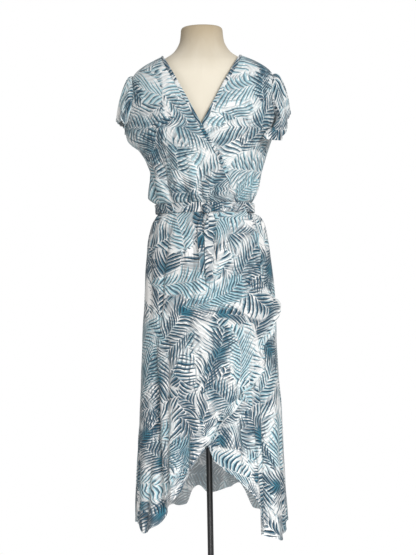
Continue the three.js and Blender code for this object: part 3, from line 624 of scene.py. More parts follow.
# The V neck's edge across the body at each height
overNeckline = table("z x", [
    (1.456, -0.104), (1.4, -0.074), (1.271, -0.008), (1.232, 0.014), (1.199, 0.034), (1.166, 0.051),
    (1.13, 0.062), (1.095, 0.076), (1.05, 0.096),
])
underNeckline = table("z x", [
    (1.459, 0.101), (1.4, 0.068), (1.283, 0.005), (1.232, -0.02), (1.166, -0.048), (1.095, -0.07),
    (1.05, -0.084),
])
# The free edges of the skirt's fronts, down to their lowest corners
overWrapEdge = table("z x", [
    (1.056, 0.096), (1.04, 0.104), (0.997, 0.127), (0.94, 0.133), (0.884, 0.133), (0.83, 0.153),
    (0.781, 0.168), (0.738, 0.16), (0.69, 0.141), (0.635, 0.134), (0.605, 0.117), (0.585, 0.086),
    (0.55, 0.07), (0.521, 0.046), (0.492, 0.024), (0.466, 0.005), (0.447, -0.014),
])
underWrapEdge = table("z x", [
    (1.056, -0.082), (0.997, -0.104), (0.884, -0.112), (0.781, -0.104), (0.69, -0.084),
    (0.605, -0.054), (0.521, -0.022), (0.452, 0.004),
])
# Where the free wrap edge stands off in waves
edgeFrills = table("z reach lift", [
    (0.985, 0.026, 0.0025), (0.915, 0.03, 0.0035), (0.8, 0.034, 0.025), (0.738, 0.024, 0.012),
    (0.65, 0.03, 0.008), (0.58, 0.022, 0.011), (0.52, 0.018, 0.008), (0.47, 0.014, 0.007),
])
# The hem's height at each angle
overHem = table("angle z", [
    (-90, 0.233), (-78, 0.246), (-66, 0.25), (-60, 0.245), (-56, 0.227), (-50, 0.237), (-45, 0.248),
    (-41, 0.262), (-39, 0.29), (-35, 0.313), (-28, 0.322), (-23, 0.352), (-18, 0.386), (-11, 0.418),
    (-4, 0.447),
])
underHem = table("angle z", [
    (1, 0.452), (4, 0.416), (8, 0.405), (13, 0.392), (20, 0.376), (25, 0.361), (30, 0.346),
    (34, 0.328), (38, 0.302), (41, 0.272), (44, 0.224), (52, 0.212), (61, 0.2), (72, 0.214),
    (90, 0.24),
])
backHem = table("angle z", [
    (90, 0.24), (110, 0.216), (128, 0.234), (141, 0.236), (147, 0.292), (151, 0.308), (160, 0.295),
    (180, 0.277), (191, 0.301), (195, 0.292), (201, 0.247), (207, 0.244), (216, 0.252), (228, 0.24),
    (250, 0.216), (270, 0.233),
])
# The sleeves' hems, round the armhole from the shoulder (0) by the front (90) and the
# underarm (180)
rightSleeveHem = table("turn x y z", [
    (0, -0.226, 0, 1.29), (45, -0.222, -0.042, 1.284), (90, -0.208, -0.062, 1.284),
    (135, -0.205, -0.044, 1.266), (180, -0.208, 0, 1.256), (225, -0.207, 0.04, 1.264),
    (270, -0.211, 0.06, 1.28), (315, -0.222, 0.042, 1.286), (360, -0.226, 0, 1.29),
])
leftSleeveHem = table("turn x y z", [
    (0, 0.227, 0, 1.304), (45, 0.223, -0.044, 1.294), (75, 0.21, -0.074, 1.248),
    (92, 0.202, -0.087, 1.229), (106, 0.194, -0.095, 1.223), (126, 0.171, -0.103, 1.224),
    (145, 0.154, -0.097, 1.23), (163, 0.178, -0.058, 1.24), (180, 0.199, 0, 1.24),
    (225, 0.206, 0.042, 1.244), (270, 0.213, 0.062, 1.262), (315, 0.223, 0.046, 1.29),
    (360, 0.227, 0, 1.304),
])

# Finer creases that the solids leave out, in the same columns as the folds
skirtCreases = table("top angleTop bottom angleBottom width lift crisp quick ends", [
    (1.03, -70, 0.84, -66, 0.009, -0.0042, 0, 3.5, 0.70),
    (1.03, -57, 0.92, -53, 0.007, -0.0034, 0, 3.5, 0.78),
    (1.03, -46, 0.80, -50, 0.010, -0.0050, 1, 3.5, 0.66),
    (1.03, -24, 0.88, -21, 0.008, 0.0036, 0, 3.5, 0.74),
    (1.03, -14, 0.78, -19, 0.010, -0.0048, 0, 3.5, 0.64),
    (1.03, -3, 0.90, -8, 0.008, 0.0034, 0, 3.5, 0.76),
    (1.03, 9, 0.80, 5, 0.011, -0.0050, -1, 3.5, 0.66),
    (1.03, 17, 0.91, 19, 0.008, 0.0032, 0, 3.5, 0.77),
    (1.03, 33, 0.84, 38, 0.010, -0.0046, 0, 3.5, 0.70),
    (1.02, 44, 0.90, 47, 0.008, 0.0034, 0, 3.5, 0.76),
    (0.90, -44, 0.52, -36, 0.015, -0.0068, 1),
    (0.84, -30, 0.50, -24, 0.020, 0.0058),
    (0.80, -8, 0.48, -3, 0.017, 0.0064),
    (0.78, 2, 0.56, 6, 0.012, -0.0052, -1),
    (0.88, 24, 0.60, 28, 0.016, -0.0055, -1),
    (0.74, 44, 0.44, 42, 0.012, -0.0070, -1),
    (0.58, -17, 0.36, -15, 0.010, -0.0060, 1),
    (0.55, -47, 0.28, -46, 0.010, 0.0070),
    (0.60, -53, 0.30, -53, 0.009, -0.0064),
    (0.52, -68, 0.26, -66, 0.012, -0.0070, -1),
    (0.50, 22, 0.34, 21, 0.009, -0.0048),
    (0.50, 56, 0.26, 55, 0.010, 0.0064),
    (0.56, 71, 0.28, 69, 0.011, -0.0072, 1),
    (0.90, 74, 0.40, 75, 0.010, 0.0045),
    (0.86, -84, 0.36, -80, 0.011, -0.0058),
    (0.92, 112, 0.50, 111, 0.010, 0.0050),
    (1.01, 130, 0.62, 131, 0.011, -0.0050, 1, 3.5, 0.48),
    (0.66, 146, 0.34, 147, 0.011, -0.0060),
    (0.90, 163, 0.46, 164, 0.013, 0.0056),
    (1.02, 181, 0.66, 180, 0.011, -0.0050, 0, 3.5, 0.52),
    (0.62, 179, 0.36, 180, 0.011, -0.0056, -1),
    (0.94, 198, 0.52, 197, 0.012, 0.0054),
    (0.60, 213, 0.33, 214, 0.011, -0.0060),
    (1.00, 232, 0.60, 233, 0.011, -0.0050, -1, 3.5, 0.46),
    (0.90, 251, 0.48, 252, 0.010, 0.0050),
])
bodiceCreases = table("top angleTop bottom angleBottom width lift crisp", [
    (1.31, -72, 1.10, -64, 0.010, -0.0078),
    (1.28, -62, 1.09, -44, 0.009, -0.0065, 1),
    (1.26, -52, 1.09, -34, 0.009, 0.0051),
    (1.23, -42, 1.09, -20, 0.009, -0.0057),
    (1.22, -20, 1.09, -8, 0.010, 0.0054),
    (1.20, -12, 1.09, 9, 0.009, -0.0059, -1),
    (1.25, 64, 1.09, 58, 0.009, -0.007),
    (1.23, 42, 1.09, 38, 0.010, 0.0059),
    (1.27, 54, 1.10, 30, 0.009, -0.0054, -1),
    (1.28, -84, 1.09, -86, 0.011, -0.0084),
    (1.26, 84, 1.09, 86, 0.010, -0.0076),
    (1.31, 76, 1.16, 60, 0.011, -0.0057),
    (1.40, -64, 1.26, -50, 0.012, -0.0049),
    (1.38, 62, 1.27, 50, 0.012, -0.0043),
    (1.28, 124, 1.09, 126, 0.010, -0.0062),
    (1.22, 155, 1.09, 154, 0.010, 0.0057),
    (1.27, 183, 1.09, 182, 0.010, -0.0062),
    (1.23, 212, 1.09, 213, 0.010, 0.0057),
    (1.27, 241, 1.09, 240, 0.010, -0.0062),
    (1.36, -70, 1.13, -40, 0.013, -0.0060, 1),
    (1.34, -58, 1.14, -26, 0.014, 0.0050),
    (1.30, -78, 1.13, -58, 0.011, 0.0056),
    (1.33, 66, 1.12, 44, 0.013, -0.0058, -1),
    (1.31, 54, 1.14, 34, 0.013, 0.0046),
    (1.29, 80, 1.12, 70, 0.011, -0.0058, 1),
])

# Small gathers round the waist: how many, how deep, and the heights over which they come and go,
# counted from the waist seam
gathers = dict(coarse=15, coarseDepth=0.0040, fine=41, fineDepth=0.0024, belowShare=0.8,
               aboveFrom=(0.012, 0.032), aboveTo=(0.04, 0.15), belowFrom=(-0.034, -0.014),
               belowTo=(-0.2, -0.04), fineBelow=(-0.1, -0.03), fineAbove=(0.04, 0.09))
foldForm = dict(steepFlank=2.6, slowFlank=0.8, runOut=0.14, clearOfBelt=(0.01, 0.032))
swellForm = dict(lift=0.0011, nearBelt=0.03)
nearby = dict(angle=0.6, height=0.002)  # how near the places lie that give the surface's slope


def mix(a, b, t):
    return a + (b - a) * t


def ease(low, high, value):
    t = np.clip((value - low) / (high - low), 0, 1)
    return t * t * (3 - 2 * t)


def unit(vectors):
    return vectors / np.maximum(np.linalg.norm(vectors, axis=-1, keepdims=True), 1e-12)


def spread(columns, rows, widest=1, tallest=1):
    return np.meshgrid(np.linspace(0, widest, columns + 1), np.linspace(0, tallest, rows + 1))


def runLengths(points):  # how far each point lies along its line of points
    return np.concatenate(([0], np.cumsum(np.linalg.norm(np.diff(points, axis=0), axis=1))))


def column(rows, key, name):  # a smooth curve through one column, with no overshoot between rows
    rows = sorted(rows, key=lambda row: row[key])
    keys = np.array([row[key] for row in rows], float)
    values = np.array([row[name] for row in rows], float)
    slopes = np.diff(values) / np.diff(keys)
    before = np.concatenate((slopes[:1], slopes))
    after = np.concatenate((slopes, slopes[-1:]))
    agree = before * after > 0
    tangents = np.where(agree, 2 * before * after / np.where(agree, before + after, 1), 0)

    def curve(value):
        value = np.clip(value, keys[0], keys[-1])
        i = np.clip(np.searchsorted(keys, value, side="right") - 1, 0, len(keys) - 2)
        span = keys[i + 1] - keys[i]
        t = (value - keys[i]) / span
        start = t * (1 - t) ** 2 * span * tangents[i]
        end = t * t * (t - 1) * span * tangents[i + 1]
        return mix(values[i], values[i + 1], t * t * (3 - 2 * t)) + start + end

    return curve


dress = {name: column(dressRings, "z", name) for name in ("left", "right", "front", "back", "square")}
form = {name: column(formRings, "z", name) for name in ("side", "front", "back", "square")}
form["left"] = form["side"]
form["right"] = form["side"]
neckX = dict(over=column(overNeckline, "z", "x"), under=column(underNeckline, "z", "x"))
wrapX = dict(over=column(overWrapEdge, "z", "x"), under=column(underWrapEdge, "z", "x"))
hemZ = dict(over=column(overHem, "angle", "z"), under=column(underHem, "angle", "z"),
            back=column(backHem, "angle", "z"))


def ringRadius(rings, angle, z):
    s = np.sin(np.radians(angle))
    c = np.cos(np.radians(angle))
    side = np.where(s < 0, rings["left"](z), rings["right"](z))
    depth = np.where(c > 0, rings["front"](z), rings["back"](z))
    power = rings["square"](z)
    return (np.abs(s / side) ** power + np.abs(c / depth) ** power) ** (-1 / power)


def foldSum(folds, angle, z, radius):
    total = np.zeros_like(z)
    for fold in folds:
        way = (fold["top"] - z) / (fold["top"] - fold["bottom"])
        growth = ease(0, 1, way * fold.get("quick", 1))
        if "ends" in fold:
            growth = growth * ease(fold["ends"], fold["ends"] + foldForm["runOut"], z)
        centre = mix(fold["angleTop"], fold["angleBottom"], way)
        turned = (angle - centre + 540) % 360 - 180
        across = np.radians(turned) * radius / fold["width"]
        crisp = fold.get("crisp", 0)
        if crisp:
            across = across * np.where(across * crisp > 0, foldForm["steepFlank"], foldForm["slowFlank"])
        total += fold["lift"] * growth * np.exp(-np.minimum(across * across, 30))
    return total


def waistGathers(angle, z):  # waves round the form, set out so that no two gathers match
    rise = z - waistSeam
    turn = np.radians(angle)
    above = ease(*gathers["aboveFrom"], rise) * (1 - ease(*gathers["aboveTo"], rise))
    below = (1 - ease(*gathers["belowFrom"], rise)) * ease(*gathers["belowTo"], rise)
    nearBelt = ease(*gathers["fineBelow"], rise) * (1 - ease(*gathers["fineAbove"], rise))
    coarse = np.sin(gathers["coarse"] * turn + 1.6 * np.sin(3 * turn)) * gathers["coarseDepth"]
    patchy = 0.75 + 0.45 * np.sin(2 * turn + 0.7) * np.sin(5 * turn)
    uneven = 0.6 + 0.4 * np.sin(5 * turn + 1.1)
    fine = np.sin(gathers["fine"] * turn + 2.1 * np.sin(4 * turn + 0.6)) * gathers["fineDepth"] * uneven
    return (coarse * patchy + fine * nearBelt) * (above + gathers["belowShare"] * below)


def softUnevenness(angle, z, radius):  # slow swells that keep long stretches from looking drawn
    arc = np.radians(angle) * radius
    swell = np.sin(arc * 31 + z * 9 + 1.7) * np.sin(z * 17 - arc * 7)
    swell += 0.6 * np.sin(arc * 58 - z * 24 + 0.4) * np.sin(z * 33 + arc * 12 + 2.0)
    awayFromBelt = 1 - np.exp(-(((z - waistSeam) / swellForm["nearBelt"]) ** 2))
    return swell * swellForm["lift"] * awayFromBelt


def clothSurface(angle, z):
    angle, z = np.broadcast_arrays(np.asarray(angle, float), np.asarray(z, float))
    radius = ringRadius(dress, angle, z)
    aboveBelt = ease(*foldForm["clearOfBelt"], z - waistSeam)
    upper = (foldSum(bodiceFolds, angle, z, radius) + foldSum(bodiceCreases, angle, z, radius)) * aboveBelt
    lower = foldSum(skirtFolds, angle, z, radius) + foldSum(skirtCreases, angle, z, radius)
    reach = radius + np.where(z > waistSeam, upper, lower)
    reach = reach + waistGathers(angle, z) + softUnevenness(angle, z, radius)
    turn = np.radians(angle)
    return np.stack((reach * np.sin(turn), -reach * np.cos(turn), z), axis=-1)


def clothPoint(angle, z, layer):  # a place on the dress's surface, moved out square to it
    layer = np.broadcast_to(layer, np.broadcast_shapes(np.shape(angle), np.shape(z)))
    along = clothSurface(angle + nearby["angle"], z) - clothSurface(angle - nearby["angle"], z)
    up = clothSurface(angle, z + nearby["height"]) - clothSurface(angle, z - nearby["height"])
    return clothSurface(angle, z) + unit(np.cross(along, up)) * layer[..., None]


def frontAngle(x, z):
    side = np.where(x < 0, dress["left"](z), dress["right"](z))
    power = dress["square"](z)
    share = np.minimum(0.999, np.abs(x / side))
    forward = dress["front"](z) * (1 - share ** power) ** (1 / power)
    return np.degrees(np.arctan2(x, forward))


def armholeTurnAt(z):
    rise = np.clip((z - armholeCentre) / armholeHalfHeight, -1, 1)
    return armholeTurn * np.sqrt(1 - rise * rise)


def gapAngle(z):
    return np.degrees(seamGap / 2 / np.minimum(dress["left"](z), dress["right"](z)))


def layerAt(side, angle):  # the over panels lie on the under ones, down to the back's layer at the side
    return overLayer * ease(*overRise, angle) if side < 0 else np.zeros_like(angle)


# How far down the cloth a height lies, measured along a line down the back
dropLine = dict(angle=150.0, bottom=0.15, top=1.475, steps=700)
dropHeights = np.linspace(dropLine["bottom"], dropLine["top"], dropLine["steps"])
dropLengths = runLengths(clothSurface(np.full_like(dropHeights, dropLine["angle"]), dropHeights))


def flatPlaces(across, down, shift):
    return np.stack((across + shift[0], down + shift[1]), -1)


def flatCloth(points, z, middle, shift):  # a panel's flat places, counted across from a middle column
    steps = np.linalg.norm(np.diff(points[..., :2], axis=1), axis=2)
    lengths = np.concatenate((np.zeros((len(points), 1)), np.cumsum(steps, axis=1)), axis=1)
    across = lengths - lengths[:, middle:middle + 1]
    return flatPlaces(across, np.interp(z, dropHeights, dropLengths), shift)


def gridCorners(rows, columns):
    r, c = np.meshgrid(np.arange(rows), np.arange(columns), indexing="ij")
    r = r.ravel()
    c = c.ravel()
    return np.stack((r, r, r + 1, r + 1), 1), np.stack((c, c + 1, c + 1, c), 1)


# Where a shell's outer side, its inner side and its rim lie on the bake map
bakeMap = dict(edge=0.01, outer=0.71, inner=0.245, innerFrom=0.745, lip=0.006, sharpDegrees=50)


def shellObject(name, inner, outer, flat, materials, ring=False):
    # One closed thin body from two sheets of points: outer side, inner side and the edges between.
    # The points are set out in rows and columns; on a ring the last column repeats the first.
    rows = outer.shape[0] - 1
    columns = outer.shape[1] - 1
    width = columns if ring else columns + 1
    r, c = gridCorners(rows, columns)
    sides = [(r, c, np.zeros_like(r), 0), (r[:, ::-1], c[:, ::-1], np.ones_like(r), 1)]
    layerPair = np.array([0, 0, 1, 1])
    span = np.arange(columns)
    for row, order in ((0, 1), (rows, -1)):
        edgeC = np.stack((span, span + 1, span + 1, span), 1)[:, ::-order]
        edgeL = np.tile(layerPair, (columns, 1))[:, ::-order]
        sides.append((np.full_like(edgeC, row), edgeC, edgeL, 2))
    fall = np.arange(rows)
    for col, order in () if ring else ((0, -1), (columns, 1)):
        edgeR = np.stack((fall, fall + 1, fall + 1, fall), 1)[:, ::-order]
        edgeL = np.tile(layerPair, (rows, 1))[:, ::-order]
        sides.append((edgeR, np.full_like(edgeR, col), edgeL, 2))
    rowOf, colOf, layerOf = (np.concatenate([side[part] for side in sides]) for part in range(3))
    kind = np.concatenate([np.full(len(side[0]), side[3]) for side in sides])
    points = np.concatenate((outer[:, :width].reshape(-1, 3), inner[:, :width].reshape(-1, 3)))
    index = layerOf * (rows + 1) * width + rowOf * width + colOf % width
    a, b, e, d = (points[index[:, corner]] for corner in range(4))
    volume = np.einsum("ij,ij->i", a, np.cross(b, e)).sum() + np.einsum("ij,ij->i", a, np.cross(e, d)).sum()
    if volume < 0:
        index, rowOf, colOf, layerOf = (part[:, ::-1] for part in (index, rowOf, colOf, layerOf))
    mesh = bpy.data.meshes.new(name)
    mesh.vertices.add(len(points))
    mesh.vertices.foreach_set("co", points.astype(np.float32).ravel())
    mesh.loops.add(index.size)
    mesh.loops.foreach_set("vertex_index", index.astype(np.int32).ravel())
    mesh.polygons.add(len(index))
    mesh.polygons.foreach_set("loop_start", (np.arange(len(index)) * 4).astype(np.int32))
    mesh.polygons.foreach_set("material_index", np.where(kind == 1, 1, 0).astype(np.int32))
    mesh.update(calc_edges=True)
    isRim = (kind[:, None] == 2) & (layerOf == 1)
    lip = np.where(isRim, bakeMap["lip"], 0.0)
    lipAcross = np.where(colOf == 0, -lip, np.where(colOf == columns, lip, 0))
    lipDown = np.where(rowOf == 0, -lip, np.where(rowOf == rows, lip, 0))
    across = colOf / columns
    bakeU = np.where(kind[:, None] == 1, bakeMap["innerFrom"] + bakeMap["inner"] * across,
                     bakeMap["edge"] + bakeMap["outer"] * across + lipAcross)
    bakeV = bakeMap["edge"] + (1 - 2 * bakeMap["edge"]) * rowOf / rows + lipDown
    for label, places in (("clothFlat", flat[rowOf, colOf]), ("OFBake", np.stack((bakeU, bakeV), -1))):
        mesh.uv_layers.new(name=label).data.foreach_set("uv", places.astype(np.float32).ravel())
    return finished(name, mesh, materials, bakeMap["sharpDegrees"])


def finished(name, mesh, materials, sharpDegrees):
    mesh.polygons.foreach_set("use_smooth", np.ones(len(mesh.polygons), bool))
    mesh.validate()
    mesh.set_sharp_from_angle(angle=math.radians(sharpDegrees))
    for material in materials:
        mesh.materials.append(material)
    return placed(name, mesh)


def settle(piece, slotName, *nodes):
    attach(piece, "root")
    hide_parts(*nodes)


def clothPanel(name, angle, z, layer, thickness, printShift, middle, sides):
    inner = clothPoint(angle, z, layer)
    outer = clothPoint(angle, z, layer + thickness)
    return shellObject(name, inner, outer, flatCloth(outer, z, middle, printShift), sides)


# Skirt. The narrow turned hem is thicker than the cloth.
skirtPiece = dict(columns=160, backColumns=150, rows=240, overShift=(0.31, 0.12), underShift=(1.27, 0.55),
                  backShift=(2.4, 0.9), frillRipple=0.0022, frillFrom=0.86, rippleFrom=0.955,
                  hemMore=0.7, hemFrom=0.0045, hemTo=0.0065, edgeRadius=0.17)
skirtTop = waistSeam - seamGap / 2


def hemThickness(distance):
    turnedUp = 1 - ease(skirtPiece["hemFrom"], skirtPiece["hemTo"], distance)
    return wall * (1 + skirtPiece["hemMore"] * turnedUp)


def frill(u, z):
    lift = sum(bump["lift"] * np.exp(-(((z - bump["z"]) / bump["reach"]) ** 2)) for bump in edgeFrills)
    ripple = skirtPiece["frillRipple"] * (1 + np.sin(z * 150 + 1.2 * np.sin(z * 31)))
    return lift * ease(skirtPiece["frillFrom"], 1, u) + ripple * ease(skirtPiece["rippleFrom"], 1, u)


def skirtFront(side, name, wrapEdge):
    u, v = spread(skirtPiece["columns"], skirtPiece["rows"])
    corner = wrapEdge[-1]
    edgeZ = mix(skirtTop, corner["z"], v)
    seam = side * (90 - gapAngle(edgeZ))
    lowest = hemZ[name](mix(seam[-1], frontAngle(corner["x"], corner["z"]), u[-1]))
    lowest[-1] = corner["z"]
    z = mix(skirtTop, lowest[None, :], v)
    angle = mix(seam, frontAngle(wrapX[name](edgeZ), edgeZ), u)
    fromEdge = (1 - u) * np.abs(angle[:, -1:] - angle[:, :1]) * math.pi / 180 * skirtPiece["edgeRadius"]
    layer = layerAt(side, angle) + (frill(u, z) if name == "over" else 0)
    return clothPanel("skirtFront" + name.capitalize(), angle, z, layer,
                      hemThickness(np.minimum(z - lowest[None, :], fromEdge)),
                      skirtPiece[name + "Shift"], skirtPiece["columns"] // 2, clothSides)


def skirtBack():
    columns = skirtPiece["backColumns"]
    u, v = spread(columns, skirtPiece["rows"])
    lowest = hemZ["back"](mix(90.0, 270.0, u[-1]))
    z = mix(skirtTop, lowest[None, :], v)
    angle = mix(90 + gapAngle(z), 270 - gapAngle(z), u)
    return clothPanel("skirtBack", angle, z, np.zeros_like(z), hemThickness(z - lowest[None, :]),
                      skirtPiece["backShift"], columns // 2, clothSides)


skirtOver = skirtFront(-1, "over", overWrapEdge)
skirtUnder = skirtFront(1, "under", underWrapEdge)
skirtBehind = skirtBack()
settle(skirtOver, "print_cloth", "skirt_front_over")
settle(skirtUnder, "print_cloth", "skirt_front_under")
settle(skirtBehind, "print_cloth", "skirt_back")
print("stage 3: skirt made")

# Bodice. Its rows are even along the side, and the back's rows rise towards the nape.
bodicePiece = dict(columns=90, backColumns=120, rows=120, overShift=(3.1, 0.3), underShift=(4.2, 0.7),
                   backShift=(5.3, 0.1), napeBow=0.7, sideAngle=80.0, sideSteps=300)
bodiceLow = waistSeam + seamGap / 2
sideHeights = np.linspace(bodiceLow, shoulderEnd, bodicePiece["sideSteps"])
sideLengths = runLengths(clothSurface(np.full_like(sideHeights, bodicePiece["sideAngle"]), sideHeights))


def bodiceHeights(rows, columns):
    heights = np.interp(np.linspace(0, sideLengths[-1], rows + 1), sideLengths, sideHeights)
    return np.repeat(heights[:, None], columns + 1, axis=1)


def sideSeam(side, z):
    return side * (90 - gapAngle(z) - armholeTurnAt(z))


def bodiceFront(side, name):
    columns = bodicePiece["columns"]
    z = bodiceHeights(bodicePiece["rows"], columns)
    u = np.linspace(0, 1, columns + 1)[None, :]
    angle = mix(sideSeam(side, z), frontAngle(neckX[name](z), z), u)
    return clothPanel("bodiceFront" + name.capitalize(), angle, z, layerAt(side, angle), wall,
                      bodicePiece[name + "Shift"], columns // 2, airySides)


def bodiceBack():
    columns = bodicePiece["backColumns"]
    side = bodiceHeights(bodicePiece["rows"], columns)
    u = np.linspace(0, 1, columns + 1)[None, :]
    bow = np.sin(u * math.pi).clip(0) ** bodicePiece["napeBow"]
    middle = mix(bodiceLow, napeHeight, (side - bodiceLow) / (shoulderEnd - bodiceLow))
    cutIn = gapAngle(side) + armholeTurnAt(side)
    return clothPanel("bodiceBack", mix(90 + cutIn, 270 - cutIn, u), mix(side, middle, bow),
                      np.zeros_like(side), wall, bodicePiece["backShift"], columns // 2, airySides)


bodiceOver = bodiceFront(-1, "over")
bodiceUnder = bodiceFront(1, "under")
bodiceBehind = bodiceBack()
settle(bodiceOver, "print_cloth", "bodice_front_over")
settle(bodiceUnder, "print_cloth", "bodice_front_under")
settle(bodiceBehind, "print_cloth", "bodice_back")
print("stage 4: bodice made")

# Narrow bindings round the neck: a rounded strip over the edge of the panel
bindingPiece = dict(frontShift=(6.3, 0.2), backShift=(7.1, 0.4), columns=6, rows=150,
                    backColumns=120, thin=0.45, crown=0.75, round=0.6, backSides=0.55, backMiddle=0.85,
                    slopeStep=0.005)


def bindingStrip(name, angle, z, layer, share, middle, shift):
    crown = np.sqrt(np.clip(1 - (2 * share - 1) ** 2, 0, 1)) ** bindingPiece["round"]
    lift = layer + wall + layerGap
    thickness = bindingWall * (bindingPiece["thin"] + bindingPiece["crown"] * crown)
    inner = clothPoint(angle, z, lift)
    outer = clothPoint(angle, z, lift + thickness)
    return shellObject(name, inner, outer, flatCloth(outer, z, middle, shift), clothSides)


def neckBindingFront(side, name):
    z = bodiceHeights(bindingPiece["rows"], bindingPiece["columns"])
    rim = frontAngle(neckX[name](z), z)
    step = bindingPiece["slopeStep"]  # a slanting edge needs more turn for the same breadth
    slant = np.hypot(1, (neckX[name](z + step) - neckX[name](z - step)) / (2 * step))
    radius = ringRadius(dress, rim, z)
    panelWidth = np.abs(sideSeam(side, z) - rim) * math.pi / 180 * radius
    narrow = np.minimum(bindingWidth * slant, panelWidth * 0.5)
    u = np.linspace(0, 1, bindingPiece["columns"] + 1)[None, :]
    angle = rim + side * np.degrees(narrow / radius) * (1 - u)
    return bindingStrip("neckBinding" + name.capitalize(), angle, z, layerAt(side, angle), u, 0,
                        bindingPiece["frontShift"])


def neckBindingBack():
    columns = bindingPiece["backColumns"]
    u = np.linspace(0, 1, columns + 1)[None, :]
    bow = np.sin(u * math.pi).clip(0) ** bodicePiece["napeBow"]
    top = mix(shoulderEnd, napeHeight, bow)
    v = np.linspace(0, 1, bindingPiece["columns"] + 1)[:, None]
    z = top - mix(bindingPiece["backSides"], bindingPiece["backMiddle"], bow) * bindingWidth * (1 - v)
    angle = np.repeat(mix(90 + gapAngle(top), 270 - gapAngle(top), u), len(v), axis=0)
    return bindingStrip("neckBindingBack", angle, z, 0, v, columns // 2, bindingPiece["backShift"])


bindingOver = neckBindingFront(-1, "over")
bindingUnder = neckBindingFront(1, "under")
bindingBehind = neckBindingBack()
settle(bindingOver, "print_binding", "neck_binding_over")
settle(bindingUnder, "print_binding", "neck_binding_under")
settle(bindingBehind, "print_binding", "neck_binding_back")
print("stage 5: bindings made")

# Cap sleeves: tubes from the armhole, bent over the shoulder and gathered at the seam and the hem
sleevePiece = dict(turns=220, steps=54, seamLift=0.0009, tuck=0.994, gathers=11, gatherDepth=0.0036,
                   fineGathers=29, fineDepth=0.0020, fullSize=0.06, hemMore=0.8, hemFrom=0.93, hemTo=0.95,
                   leaves=(0.86, 0.5, 0.5), puffs=(0.7, 0.7, 0.3), bend=0.4)
sleeveCuts = dict(
    right=dict(side=-1, hem=rightSleeveHem, reach=0.016, rise=0.044, shift=(8.2, 0.5), cloth=airySides),
    left=dict(side=1, hem=leftSleeveHem, reach=0.022, rise=0.040, shift=(9.4, 0.2), cloth=clothSides),
)


def fromArmhole(phi, side, sizes):  # a way out of the armhole: how far sideways, across and up
    sideways = np.full_like(phi, side * sizes[0])
    return np.stack((sideways, -sizes[1] * np.sin(phi), sizes[2] * np.cos(phi)), -1)


def sleeve(name):
    cut = sleeveCuts[name]
    side = cut["side"]
    hem = [column(cut["hem"], "turn", axis) for axis in "xyz"]

    def spot(turn, along):
        turn = turn % 360
        phi = np.radians(turn)
        z = armholeCentre + armholeHalfHeight * np.cos(phi) * sleevePiece["tuck"]
        turnIn = armholeTurnAt(z) * np.sign(np.sin(phi))
        rootAngle = side * (90 - turnIn)
        frontLayer = np.where(turnIn > 0, layerAt(side, rootAngle), 0)
        root = clothPoint(rootAngle, z, wall + sleevePiece["seamLift"] + frontLayer)
        end = np.stack([curve(turn) for curve in hem], -1)
        length = np.linalg.norm(end - root, axis=-1, keepdims=True)
        leaves = fromArmhole(phi, side, sleevePiece["leaves"])
        first = root + leaves * np.minimum(cut["reach"], length * sleevePiece["bend"])
        second = end + np.array((0, 0, 1.0)) * np.minimum(cut["rise"], length * sleevePiece["bend"])
        t = along[..., None]
        point = root * (1 - t) ** 3 + first * 3 * t * (1 - t) ** 2
        point = point + second * 3 * t * t * (1 - t) + end * t ** 3
        coarse = np.sin(phi * sleevePiece["gathers"]) * sleevePiece["gatherDepth"] * ease(0, 0.3, along)
        fade = ease(0.0, 0.08, along) * (1 - 0.85 * ease(0.15, 0.45, along)) + 0.7 * ease(0.8, 0.97, along)
        uneven = 0.65 + 0.35 * np.sin(phi * 4 + 0.8)
        wave = np.sin(phi * sleevePiece["fineGathers"] + 1.5 * np.sin(phi * 3))
        fine = wave * sleevePiece["fineDepth"] * fade * uneven
        size = np.minimum(1, length / sleevePiece["fullSize"])
        return point + fromArmhole(phi, side, sleevePiece["puffs"]) * ((coarse + fine)[..., None] * size)

    turn, along = spread(sleevePiece["turns"], sleevePiece["steps"], widest=360)
    here = spot(turn, along)
    roundIt = spot(turn + 1, along) - spot(turn - 1, along)
    down = spot(turn, np.minimum(1, along + 0.01)) - spot(turn, np.maximum(0, along - 0.01))
    hemFold = 1 + sleevePiece["hemMore"] * ease(sleevePiece["hemFrom"], sleevePiece["hemTo"], along)
    outer = here + unit(np.cross(roundIt, down)) * side * wall * hemFold[..., None]
    steps = np.linalg.norm(np.diff(here, axis=0), axis=2)
    fall = np.concatenate((np.zeros((1, here.shape[1])), np.cumsum(steps, axis=0)))
    girth = np.linalg.norm(np.diff(here, axis=1), axis=2).mean(axis=0).sum()
    flat = flatPlaces(girth * turn / 360, -fall, cut["shift"])
    return shellObject("sleeve" + name.capitalize(), here, outer, flat, cut["cloth"], ring=True)


sleeveRight = sleeve("right")
sleeveLeft = sleeve("left")
settle(sleeveRight, "print_cloth", "sleeve_right")
settle(sleeveLeft, "print_cloth", "sleeve_left")
print("stage 6: sleeves made")

# Belt: a creased band round the waist
beltPiece = dict(turns=260, rows=10, shift=(10.5, 0.3), radius=0.115, creaseDepth=0.0009,
                 lift=0.0002, thick=1.3)


